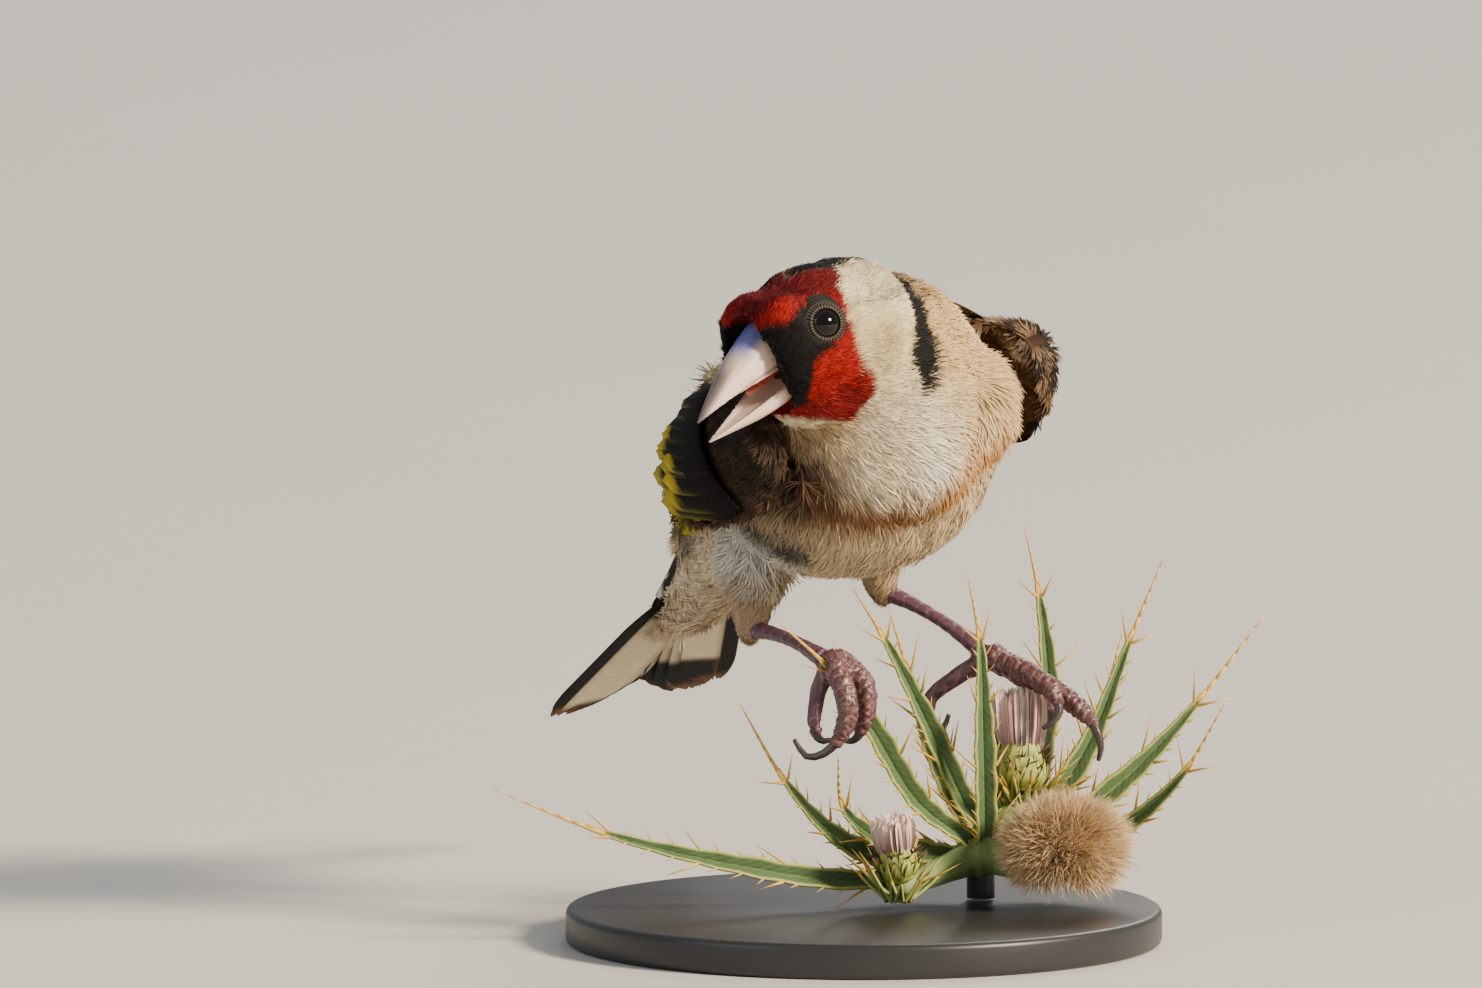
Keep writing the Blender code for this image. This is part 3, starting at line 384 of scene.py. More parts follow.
        # Painted shade on the red mask: darker red over the top of the forehead and under the chin.
        forehead_shade = 0.85 * fall(y + 0.45 * x, 3.0, 6.2) * ease(z, -2.0, 1.0)
        dark = np.maximum(forehead_shade, 0.5 * ease(-z, 7.5, 9.5))
        colours = layered(
            colours,
            (Tint.CHEEK, cheek),
            (Tint.STRAW, straw * cheek),
            (Tint.DUSK, cheek * (0.6 * ear + 0.5 * dusty)),
            (Tint.SLATE, 0.75 * line * cheek),
            (Tint.BLACK, collar),
            (Tint.BLACK, cap),
            (blend(painted(len(x), Tint.CRIMSON), Tint.SHADED_CRIMSON, dark), mask),
            (Tint.BLACK, self.lores(x, z)),
        )
        return self.eye_rings(points, colours)

    def lores(self, x: Array, z: Array) -> Array:
        """The share of black between bill and eye and round the bill."""
        upper = np.interp(x, self.lore_along, self.lore_top)
        lower = np.interp(x, self.lore_foot_along, self.lore_foot)
        black = self.below(z, upper) * self.above(z, lower) * self.above(x, 0.2)
        surround = self.above(x, 4.3) * self.above(z, -8.5) * self.below(z, 2.4)
        return np.maximum(black, surround)

    def eye_rings(self, points: Array, colours: Array) -> Array:
        """The grey rings of tiny feathers round the eye."""
        x, y, z = points.T
        offset = np.stack([x, np.abs(y), z], axis=1) - np.array(EYE_RIM)
        axis = np.array(EYE_TURN) / np.linalg.norm(EYE_TURN)
        radius = off_axis(offset, axis)
        reach = self.orbit + 0.3 * (offset[:, 0] < 0)
        near = fall(radius, reach, reach + 0.6) * (offset @ axis > -2.5)
        rings = 0.5 + 0.5 * np.sin(radius * 2 * math.pi / self.ring)
        grey = blend(painted(len(radius), Tint.BLACK), Tint.LID, 0.16 * rings)
        return blend(colours, grey, 0.9 * near)

    def colours(self, points: Array) -> Array:
        """The plumage's colours at world points."""
        uneven = 0.35 * ripple(points, 2.1 * MM) + 0.25 * ripple(points, 0.9 * MM, 2.0)
        outward = unit(points - from_frame(TRUNK, [(0, 0, 0)]))
        shifted = points + uneven[:, None] * MM * outward
        local = to_frame(TRUNK, shifted)
        body = layered(
            self.body(local),
            (Tint.FLANK, 0.8 * shank_share(shifted)),
            (Tint.WHITE, VENT_TUFT.share(local)),
        )
        return self.head(to_frame(HEAD, shifted), body)


MARKINGS = Markings()


# ---------------------------------------------------------------- materials


class ColourGroup:
    """A node group in the making: a colour goes in, and a colour and a relief come out."""

    def __init__(self, name: str, **numbers: float) -> None:
        """Starts the group, with its number inputs and their usual values."""
        self.tree = bpy.data.node_groups.new(name, "ShaderNodeTree")
        self.nodes, self.links = self.tree.nodes, self.tree.links
        self.add_socket("Colour", "INPUT", "NodeSocketColor")
        for title, value in numbers.items():
            self.add_socket(title, "INPUT", "NodeSocketFloat").default_value = value
        self.add_socket("Colour", "OUTPUT", "NodeSocketColor")
        self.add_socket("Relief", "OUTPUT", "NodeSocketFloat")
        self.given = self.nodes.new("NodeGroupInput").outputs
        self.result = self.nodes.new("NodeGroupOutput").inputs

    def add_socket(self, name: str, way: str, kind: str) -> bpy.types.NodeTreeInterfaceSocket:
        """Adds a named input or output."""
        return self.tree.interface.new_socket(name=name, in_out=way, socket_type=kind)

    def step(self, operation: str, *terms: NodeSocket | float) -> NodeSocket:
        """One sum inside the group, whose terms are sockets or numbers."""
        node = self.nodes.new("ShaderNodeMath")
        node.operation = operation
        for socket, term in zip(node.inputs, terms):
            if isinstance(term, float):
                socket.default_value = term
            else:
                self.links.new(term, socket)
        return node.outputs[0]

    def end(self, factor: NodeSocket, relief: NodeSocket) -> NodeTree:
        """Gives out the colour times the factor, and the relief."""
        shade = self.nodes.new("ShaderNodeVectorMath")
        shade.operation = "SCALE"
        self.links.new(self.given["Colour"], shade.inputs[0])
        self.links.new(factor, shade.inputs["Scale"])
        self.links.new(shade.outputs[0], self.result["Colour"])
        self.links.new(relief, self.result["Relief"])
        return self.tree


def mottle_group() -> NodeTree:
    """A group that varies a colour and gives a fine relief, both in the piece's own space."""
    if "mottle" in bpy.data.node_groups:
        return bpy.data.node_groups["mottle"]
    group = ColourGroup("mottle", Grain=900.0, Contrast=0.2)
    place, grain = group.nodes.new("ShaderNodeTexCoord"), group.nodes.new("ShaderNodeTexNoise")
    grain.inputs["Detail"].default_value = 3.0
    group.links.new(place.outputs["Object"], grain.inputs["Vector"])
    group.links.new(group.given["Grain"], grain.inputs["Scale"])
    centred = group.step("SUBTRACT", grain.outputs["Fac"], 0.5)
    return group.end(group.step("MULTIPLY_ADD", centred, group.given["Contrast"], 1.0), grain.outputs["Fac"])


def barb_group() -> NodeTree:
    """A group that draws the slanting barbs of a feather along its own map."""
    if "barbs" in bpy.data.node_groups:
        return bpy.data.node_groups["barbs"]
    group = ColourGroup("barbs", Barbs=70.0, Slant=0.16, Contrast=0.35)
    place, split = group.nodes.new("ShaderNodeUVMap"), group.nodes.new("ShaderNodeSeparateXYZ")
    place.uv_map = VANE_MAP
    group.links.new(place.outputs["UV"], split.inputs[0])
    off_shaft = group.step("ABSOLUTE", group.step("SUBTRACT", split.outputs["X"], 0.5))
    slant = group.step("MULTIPLY", off_shaft, group.given["Slant"])
    slanted = group.step("SUBTRACT", split.outputs["Y"], slant)
    turns = group.step("MULTIPLY", group.step("MULTIPLY", slanted, group.given["Barbs"]), 2 * math.pi)
    wave = group.step("MULTIPLY", group.step("SINE", turns), 0.5)
    factor = group.step("ADD", group.step("MULTIPLY", wave, group.given["Contrast"]), 1.0)
    return group.end(factor, wave)


@dataclass(frozen=True)
class Finish:
    """How a surface takes light; its colours are the piece's own unless it has a base colour.

    Attributes:
        grain: how many specks a metre its unevenness has.
        contrast: how much the colour varies.
        relief: the height of the fine relief, in metres.
        barbs: how many barbs run along a feather, or 0 where there are none.
    """

    name: str
    roughness: float
    grain: float = 900.0
    contrast: float = 0.25
    relief: float = 0.0
    barbs: float = 0.0
    specular: float = 0.5
    coat: float = 0.0
    see_through: float = 0.0
    base: Triple | None = None

    def material(self) -> bpy.types.Material:
        """The material, made at its first use."""
        if self.name in bpy.data.materials:
            return bpy.data.materials[self.name]
        made = bpy.data.materials.new(self.name)
        made.use_nodes = True
        nodes, links = made.node_tree.nodes, made.node_tree.links
        shader = nodes["Principled BSDF"]
        for socket, value in (
            ("Roughness", self.roughness),
            ("Specular IOR Level", self.specular),
            ("Coat Weight", self.coat),
            ("Coat Roughness", 0.08),
            ("Subsurface Weight", self.see_through),
            ("Subsurface Scale", 0.4 * MM),
        ):
            shader.inputs[socket].default_value = value
        if self.base:
            source = nodes.new("ShaderNodeRGB")
            source.outputs[0].default_value = (*self.base, 1.0)
        else:
            source = nodes.new("ShaderNodeAttribute")
            source.attribute_name = TINT
        last = nodes.new("ShaderNodeGroup")
        last.node_tree = mottle_group()
        last.inputs["Grain"].default_value = self.grain
        last.inputs["Contrast"].default_value = self.contrast
        links.new(source.outputs[0], last.inputs["Colour"])
        if self.barbs:
            mottled, last = last.outputs["Colour"], nodes.new("ShaderNodeGroup")
            last.node_tree = barb_group()
            last.inputs["Barbs"].default_value = self.barbs
            links.new(mottled, last.inputs["Colour"])
        links.new(last.outputs["Colour"], shader.inputs["Base Color"])
        if self.relief:
            bump = nodes.new("ShaderNodeBump")
            bump.inputs["Distance"].default_value = self.relief
            bump.inputs["Strength"].default_value = 0.6
            links.new(last.outputs["Relief"], bump.inputs["Height"])
            links.new(bump.outputs["Normal"], shader.inputs["Normal"])
        return made


DOWNY = Finish("feather_locks", 0.7, grain=1400.0, contrast=0.3, specular=0.18)
VANED = Finish("feather_vanes", 0.75, grain=700.0, contrast=0.3, relief=0.02 * MM, barbs=90.0, specular=0.08)
SKIN = Finish("feathered_skin", 0.85, grain=1600.0, contrast=0.5, relief=0.1 * MM, specular=0.1)
LIDS = Finish("eyelid_scales", 0.7, grain=1800.0, contrast=0.5, relief=0.04 * MM, specular=0.12)
BILL = Finish("bill_horn", 0.34, grain=450.0, contrast=0.22, relief=0.02 * MM, coat=0.2, see_through=0.15)
MOIST = Finish("moist_mouth", 0.3, grain=700.0, contrast=0.3, relief=0.02 * MM, coat=0.4)
EYE = Finish("eye_gloss", 0.04, grain=800.0, contrast=0.3, specular=0.4)
LEG = Finish("leg_scutes", 0.42, grain=1500.0, contrast=0.6, relief=0.05 * MM, coat=0.08)
NAIL = Finish("claw_horn", 0.35, contrast=0.3, coat=0.2)
LEAFY = Finish("thistle_leaf", 0.6, grain=700.0, contrast=0.6, relief=0.08 * MM, specular=0.35)
THORN = Finish("thistle_spine", 0.4, grain=500.0, contrast=0.3, coat=0.15)
STALK = Finish("thistle_stalk", 0.6, contrast=0.7, relief=0.1 * MM)
TUFTED = Finish("thistle_down", 0.7, grain=700.0, contrast=0.3, specular=0.3)
STAND = Finish("stand_paint", 0.38, grain=2500.0, contrast=0.2, relief=0.01 * MM, base=(0.022, 0.022, 0.024))
FLOOR = Finish("studio_floor", 0.8, grain=6.0, contrast=0.03, base=(0.62, 0.6, 0.56), specular=0.2)


# ---------------------------------------------------------------- meshes


def put_in_scene(name: str, mesh: Mesh, finish: Finish) -> Piece:
    """Links a mesh as a smooth piece with its finish."""
    mesh.name = name
    made = bpy.data.objects.new(name, mesh)
    mesh.materials.clear()
    mesh.materials.append(finish.material())
    mesh.shade_smooth()
    bpy.context.scene.collection.objects.link(made)
    return made


def from_bmesh(name: str, bm: BMesh, finish: Finish) -> Piece:
    """Ends a bmesh as a piece."""
    mesh = bpy.data.meshes.new(name)
    bm.to_mesh(mesh)
    bm.free()
    return put_in_scene(name, mesh, finish)


def stand_for(piece: Piece, slot: str, *nodes: str) -> Piece:
    """Rides a piece on the body, in place of its nodes."""
    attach(piece, BODY)
    if nodes:
        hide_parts(*nodes)
    LOG.info("%s: %d faces", piece.name, len(piece.data.polygons))
    return piece


def vertices_of(mesh: Mesh) -> Array:
    """A mesh's points as rows."""
    points = np.empty(len(mesh.vertices) * 3, np.float32)
    mesh.vertices.foreach_get("co", points)
    return points.reshape(-1, 3).astype(float)


def normals_of(mesh: Mesh) -> Array:
    """The directions that a mesh's points face, as rows."""
    normals = np.empty(len(mesh.vertices) * 3, np.float32)
    mesh.vertex_normals.foreach_get("vector", normals)
    return normals.reshape(-1, 3).astype(float)


def move_vertices(mesh: Mesh, points: Array) -> None:
    """Puts a mesh's points at new places."""
    mesh.vertices.foreach_set("co", points.astype(np.float32).ravel())
    mesh.update()


def paint(mesh: Mesh, colours: Array) -> None:
    """Stores a colour for each of a mesh's points."""
    layer = mesh.attributes.get(TINT) or mesh.color_attributes.new(TINT, "FLOAT_COLOR", "POINT")
    full = np.ones((len(colours), 4), np.float32)
    full[:, :3] = np.clip(colours, 0.0, 1.0)
    layer.data.foreach_set("color", full.ravel())


def paint_plain(mesh: Mesh, tint: Tint, gain: float = 1.0) -> None:
    """Gives a whole mesh one colour, times a gain."""
    paint(mesh, painted(len(mesh.vertices), tint) * gain)


def fused(nodes: Iterable[str], swell: float, voxel: float, rounds: int, fill: Fill | None = None) -> Mesh:
    """One smooth skin round copies of CAD nodes.

    Args:
        nodes: the nodes to join.
        swell: how far each is swollen first, so that the gaps between them close.
        voxel: the size of the skin's faces.
        rounds: how often the skin is smoothed.
        fill: a function that adds more solids to the bmesh, if any.

    Returns:
        The skin's mesh, which stands proud of the nodes by swell.
    """
    bm = bmesh.new()
    for node in nodes:
        bm.from_mesh(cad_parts[node].data)
    bmesh.ops.remove_doubles(bm, verts=bm.verts[:], dist=0.002 * MM)
    bm.normal_update()
    for vert, away in [(v, v.normal * swell) for v in bm.verts]:
        vert.co += away
    if fill:
        fill(bm)
    form = from_bmesh("form", bm, SKIN)
    remesh = form.modifiers.new("fuse", "REMESH")
    remesh.mode = "VOXEL"
    remesh.voxel_size = voxel
    bpy.context.view_layer.update()
    mesh = bpy.data.meshes.new_from_object(form.evaluated_get(bpy.context.evaluated_depsgraph_get()))
    bpy.data.objects.remove(form, do_unlink=True)
    smooth_mesh(mesh, rounds)
    return mesh


def smooth_mesh(mesh: Mesh, rounds: int) -> None:
    """Evens a mesh out a number of times."""
    bm = bmesh.new()
    bm.from_mesh(mesh)
    for _ in range(rounds):
        bmesh.ops.smooth_vert(
            bm, verts=bm.verts[:], factor=0.5, use_axis_x=True, use_axis_y=True, use_axis_z=True
        )
    bm.to_mesh(mesh)
    bm.free()


def add_ball(bm: BMesh, matrix: Matrix, centre: Sequence[float], radii: Sequence[float]) -> None:
    """An ellipsoid in a body frame, in millimetres."""
    place = matrix @ Matrix.Translation(Vector(centre) * MM) @ Matrix.Diagonal((*(Vector(radii) * MM), 1.0))
    bmesh.ops.create_uvsphere(bm, u_segments=24, v_segments=14, radius=1.0, matrix=place)


class Sheets:
    """Gathers bent sheets and tubes, such as feathers, leaves and threads, into one piece."""

    def __init__(self, cells: int) -> None:
        """Starts an empty piece whose bake map has room for cells by cells sheets."""
        self.bm = bmesh.new()
        self.tint = self.bm.verts.layers.float_color.new(TINT)
        self.vane = self.bm.loops.layers.uv.new(VANE_MAP)
        self.bake = self.bm.loops.layers.uv.new(BAKE_MAP)
        self.cells = cells
        self.made = 0

    def add(self, along: int, across: int, place: Place, tint: Place, closed: bool = False) -> None:
        """Adds a grid and bends it.

        Args:
            along: its faces from root to tip.
            across: its faces from edge to edge.
            place: the points at arrays of along (0 to 1) and across (-1 to 1), in metres.
            tint: the colours at the same.
            closed: whether the two edges meet, as on a tube.
        """
        grid = bmesh.ops.create_grid(self.bm, x_segments=across, y_segments=along, size=1.0)
        verts = grid["verts"]
        flat = np.array([v.co for v in verts])
        s, q = (flat[:, 1] + 1) / 2, flat[:, 0]
        spot = {}
        for vert, point, colour, a, b in zip(verts, place(s, q), tint(s, q), s, q):
            vert.co = point
            vert[self.tint] = (*np.clip(colour, 0, 1), 1.0)
            spot[vert] = ((b + 1) / 2, a)
        column, row = self.made % self.cells, self.made // self.cells % self.cells
        inner = 1 - 2 * BAKE_MARGIN
        for face in {f for v in verts for f in v.link_faces}:
            for loop in face.loops:
                u, v = spot[loop.vert]
                in_cell = (column + BAKE_MARGIN + inner * u, row + BAKE_MARGIN + inner * v)
                loop[self.vane].uv = (u, v)
                loop[self.bake].uv = (in_cell[0] / self.cells, in_cell[1] / self.cells)
        if closed:
            bmesh.ops.remove_doubles(self.bm, verts=verts, dist=0.0001 * MM)
        self.made += 1

    def build(self, name: str, finish: Finish, thickness: float = 0.0) -> Piece:
        """Ends the piece, with a thickness if its sheets need one."""
        piece = from_bmesh(name, self.bm, finish)
        if thickness:
            solid = piece.modifiers.new("thickness", "SOLIDIFY")
            solid.thickness = thickness
            solid.offset = 0.0
            solid.use_quality_normals = True
        return piece


@dataclass
class Locks:
    """Narrow pointed blades, one to a row.

    Attributes:
        roots, normals, headings: where each starts, the surface's outward side and its own way.
        lengths, widths: in metres.
        lifts: how steeply each leaves the surface.
        bends: the radius of the curve by which it comes back, in metres.
        twists: how far each is turned about its own length.
        tints, tip_tints: its colour and its tip's.
        spots: its place on the bake map.
        tip_share: how much of the tip's colour it takes.
        point: how blunt the tip is, from 0, a point, to 1.
    """

    roots: Array
    normals: Array
    headings: Array
    lengths: Array
    widths: Array
    lifts: Array
    bends: Array
    twists: Array
    tints: Array
    tip_tints: Array
    spots: Array
    tip_share: float = 0.0
    point: float = 0.0


BLADE_POINTS = 7  # three pairs across the blade and the tip
BLADE_FACES = ((0, 1, 3, 2), (2, 3, 5, 4), (4, 5, 6))
BLADE_SHADES = (0.62, 0.62, 0.86, 0.86, 1.0, 1.0, 1.08)
BLADE_TIPS = (0.0, 0.0, 0.0, 0.0, 0.5, 0.5, 1.0)
BLADE_MAP = ((0, 0), (1, 0), (0, 0.34), (1, 0.34), (0, 0.7), (1, 0.7), (0.5, 1))


def threads(name: str, locks: Locks, finish: Finish) -> Piece:
    """Makes one mesh of narrow pointed blades from arrays.

    Args:
        name: the piece's name.
        locks: where each blade starts, and how it runs.
        finish: the piece's finish.

    Returns:
        The piece, with its colours and its bake map.
    """
    count = len(locks.roots)
    stations = np.array([0.0, 0.34, 0.7 + 0.22 * locks.point, 1.0])
    widths = np.array([0.75, 1.0, 0.68 + 0.4 * locks.point, 0.0])
    across = unit(np.cross(locks.normals, locks.headings)) + locks.twists[:, None] * locks.normals
    reach = stations[None, :, None] * locks.lengths[:, None, None]
    rise = locks.lifts[:, None, None] * reach * (1 - 0.5 * stations[None, :, None])
    drop = reach**2 / (2 * locks.bends[:, None, None])
    spine = locks.roots[:, None] + locks.headings[:, None] * reach + locks.normals[:, None] * (rise - drop)
    half = (locks.widths[:, None] * widths[None])[..., None] * across[:, None] / 2
    points = np.stack([spine - half, spine + half], axis=2).reshape(count, 8, 3)[:, :BLADE_POINTS]
    points[:, -1] = spine[:, -1]
    sizes = [len(face) for face in BLADE_FACES]
    corners = (np.arange(count) * BLADE_POINTS)[:, None] + np.concatenate(BLADE_FACES)
    firsts = (np.arange(count) * sum(sizes))[:, None] + np.cumsum([0, *sizes[:-1]])
    mesh = bpy.data.meshes.new(name)
    mesh.vertices.add(count * BLADE_POINTS)
    mesh.vertices.foreach_set("co", points.astype(np.float32).ravel())
    mesh.loops.add(corners.size)
    mesh.loops.foreach_set("vertex_index", corners.astype(np.int32).ravel())
    mesh.polygons.add(firsts.size)
    mesh.polygons.foreach_set("loop_start", firsts.astype(np.int32).ravel())
    mesh.update()
    tips = np.array(BLADE_TIPS)[None, :, None] * locks.tip_share
    tints = locks.tints[:, None, :] * np.array(BLADE_SHADES)[None, :, None]
    paint(mesh, (tints * (1 - tips) + locks.tip_tints[:, None, :] * tips).reshape(-1, 3))
    spots = locks.spots[:, None] + (np.array(BLADE_MAP) - 0.5)[None] * BLADE_PATCH
    layer = mesh.uv_layers.new(name=BAKE_MAP)
    flat = np.clip(spots.reshape(-1, 2), 0.0, 1.0)[corners.ravel()]
    layer.uv.foreach_set("vector", flat.astype(np.float32).ravel())
    mesh.validate()
    return put_in_scene(name, mesh, finish)


# ---------------------------------------------------------------- skin and coat


def fans(
    rng: Chance,
    roots: Array,
    normals: Array,
    headings: Array,
    lengths: Array,
    width: float,
    blades: int,
    spread: float,
    lifts: Array,
    tints: Array,
    tips: Array,
    spots: Array,
) -> Locks:
    """Spreads each feather into a fan of barb locks.

    Args:
        rng: the source of chance.
        roots, normals, headings: where each feather starts, the surface's side and its own way.
        lengths: its length, in metres.
        width: a lock's width, in millimetres.
        blades: locks to a feather.
        spread: the angle from the middle lock to the outermost, in degrees.
        lifts: how steeply each feather leaves the surface.
        tints, tips: its colour and its tip's.
        spots: its place on the bake map.

    Returns:
        The locks.
    """
    count = len(roots)
    each = np.repeat(np.arange(count), blades)
    total = len(each)
    fan = np.tile(np.linspace(-1, 1, blades), count) + rng.normal(0, 0.25, total)
    angle = np.radians(spread) * fan
    across = np.cross(normals, headings)[each]
    way = headings[each] * np.cos(angle)[:, None] + across * np.sin(angle)[:, None]
    shift = across * (fan * lengths[each] * 0.045)[:, None]
    return Locks(
        roots=roots[each] + shift - normals[each] * 0.12 * MM,
        normals=normals[each],
        headings=unit(way),
        lengths=lengths[each] * (1 - 0.16 * np.abs(fan)) * rng.uniform(0.86, 1.1, total),
        widths=width * MM * rng.uniform(0.7, 1.3, total),
        lifts=lifts[each] * rng.uniform(0.75, 1.25, total),
        bends=np.full(total, 11.0 * MM),
        twists=rng.normal(0, 0.35, total),
        tints=tints[each] * rng.uniform(0.88, 1.12, (total, 1)),
        tip_tints=tips[each],
        spots=spots[each],
        tip_share=0.5,
    )


@dataclass
class Surface:
    """A mesh to grow feathers on."""

    mesh: Mesh
    tree: BVHTree = field(init=False)

    def __post_init__(self) -> None:
        """Reads the mesh once."""
        bm = bmesh.new()
        bm.from_mesh(self.mesh)
        bmesh.ops.triangulate(bm, faces=bm.faces[:])
        self.tree = BVHTree.FromBMesh(bm)
        self.points = np.array([v.co for v in bm.verts])
        bm.normal_update()
        self.normals = np.array([v.normal for v in bm.verts])
        self.faces = np.array([[v.index for v in f.verts] for f in bm.faces])
        bm.free()

    def scatter(self, each: float, rng: Chance) -> tuple[Array, Array]:
        """Evenly spread places.

        Args:
            each: how many to the square millimetre.
            rng: the source of chance.

        Returns:
            The points, and the outward directions there.
        """
        a, b, c = (self.points[self.faces[:, k]] for k in range(3))
        area = np.linalg.norm(np.cross(b - a, c - a), axis=1) / 2
        whole = np.cumsum(area)
        count = int(whole[-1] / MM**2 * each)
        at = (np.arange(count) + rng.random(count)) * whole[-1] / count
        face = np.minimum(np.searchsorted(whole, at), len(area) - 1)
        u, v = rng.random(count), rng.random(count)
        u, v = np.where(u + v > 1, 1 - u, u), np.where(u + v > 1, 1 - v, v)
        weights = np.stack([1 - u - v, u, v], axis=1)[..., None]
        corners = self.faces[face]
        points = (self.points[corners] * weights).sum(axis=1)
        return points, unit((self.normals[corners] * weights).sum(axis=1))

    def clearance(self, points: Array) -> Array:
        """How far each point is from this surface, in millimetres."""
        return np.array([self.tree.find_nearest(Vector(p))[3] for p in points]) / MM


def head_share(points: Array) -> Array:
    """1 on the head and 0 on the trunk, at world points."""
    away = np.linalg.norm(to_frame(HEAD, points) - np.array(HEAD_MIDDLE), axis=1)
    return fall(away, 11.5, 17.0)


def face_share(points: Array) -> Array:
    """1 round the bill and the eyes and 0 behind them, at world points."""
    away = np.linalg.norm(to_frame(HEAD, points) - np.array(BILL_ROOT), axis=1)
    return fall(away, 5.5, 12.0)


def beside_thighs(points: Array, longest: float) -> Iterator[tuple[Array, Array, Array]]:
    """Measures world points against the middle line of each thigh.

    Args:
        points: the world points.
        longest: where the line ends, in thigh lengths.

    Yields:
        How far down the thigh each point is, how far off its line in millimetres, and the way down.
    """
    for top, ankle in THIGHS.values():
        start = from_frame(TRUNK, [top])[0]
        way = np.array(ankle) * MM - start
        t = np.clip((points - start) @ way / (way @ way), 0.0, longest)
        yield t, np.linalg.norm(points - start - t[:, None] * way, axis=1) / MM, way


def thigh_share(points: Array) -> tuple[Array, Array]:
    """How much each world point belongs to a thigh, and the way down that thigh."""
    best, ways = np.zeros(len(points)), np.zeros((len(points), 3))
    for t, away, way in beside_thighs(points, 1.0):
        share = ease(t, 0.3, 0.55) * fall(away, 2.6, 4.4)
        ways = np.where((share > best)[:, None], unit(way[None]), ways)
        best = np.maximum(best, share)
    return best, ways


def shank_share(points: Array) -> Array:
    """1 on the lower half of the thighs, at world points."""
    shares = [ease(t, 0.42, 0.7) * fall(away, 3.0, 4.6) for t, away, _ in beside_thighs(points, 1.3)]
    return np.max(shares, axis=0)


def eye_place(name: str) -> tuple[Array, Array]:
    """The centre of one eye, and the way it looks."""
    low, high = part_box(f"eye_{name}")
    forward, outward, up = EYE_TURN
    return np.array((low + high) / 2), unit(turned(HEAD, [(forward, SIDES[name] * outward, up)]))[0]


def eye_reach(points: Array) -> Array:
    """How far each world point is from the nearer eye's axis, in millimetres, and 99 on the far side."""
    best = np.full(len(points), 99.0)
    for name in SIDES:
        centre, axis = eye_place(name)
        offset = points - centre
        best = np.where(offset @ axis > 0, np.minimum(best, off_axis(offset, axis) / MM), best)
    return best


def tail_share(points: Array) -> Array:
    """1 under and over the tail's root and 0 on the trunk, at world points."""
    return ease(-to_frame(TRUNK, points)[:, 0], 24.0, 34.0)


def fluff_share(points: Array) -> Array:
    """1 on the loose feathers of the flanks and between the thighs, at world points."""
    x, _, z = to_frame(TRUNK, points).T
    return ease(-x, 5.0, 9.0) * fall(-x, 14.0, 19.0) * ease(-z, 3.0, 7.0)


def coat_depth(points: Array) -> Array:
    """How deep the plumage lies on the skin at world points, in metres."""
    depth = 1.35 - 0.6 * head_share(points) - 0.4 * face_share(points)
    depth = depth - 0.75 * tail_share(points)
    shank = shank_share(points)
    return (np.maximum(depth, 0.3) * (1 - shank) + 0.12 * shank) * MM


def lie_of_head(points: Array) -> Array:
    """The way from the bill at world points."""
    return turned(HEAD, unit(to_frame(HEAD, points) - np.array(BILL_ROOT)))


def lie(points: Array, normals: Array) -> Array:
    """The way that feathers point, from the bill to the tail and down the thighs."""
    away = np.linalg.norm(to_frame(HEAD, points) - np.array(HEAD_MIDDLE), axis=1)
    to_tail = turned(TRUNK, [(-1.0, 0.0, -0.08)])
    share = ease(away, 13.0, 26.0)[:, None]
    flow = lie_of_head(points) * (1 - share) + to_tail * share
    thigh, down = thigh_share(points)
    flow = flow * (1 - thigh[:, None]) + down * thigh[:, None]
    return laid_flat(flow + fluff_share(points)[:, None] * np.array([0.0, 0.0, -0.55]), normals)


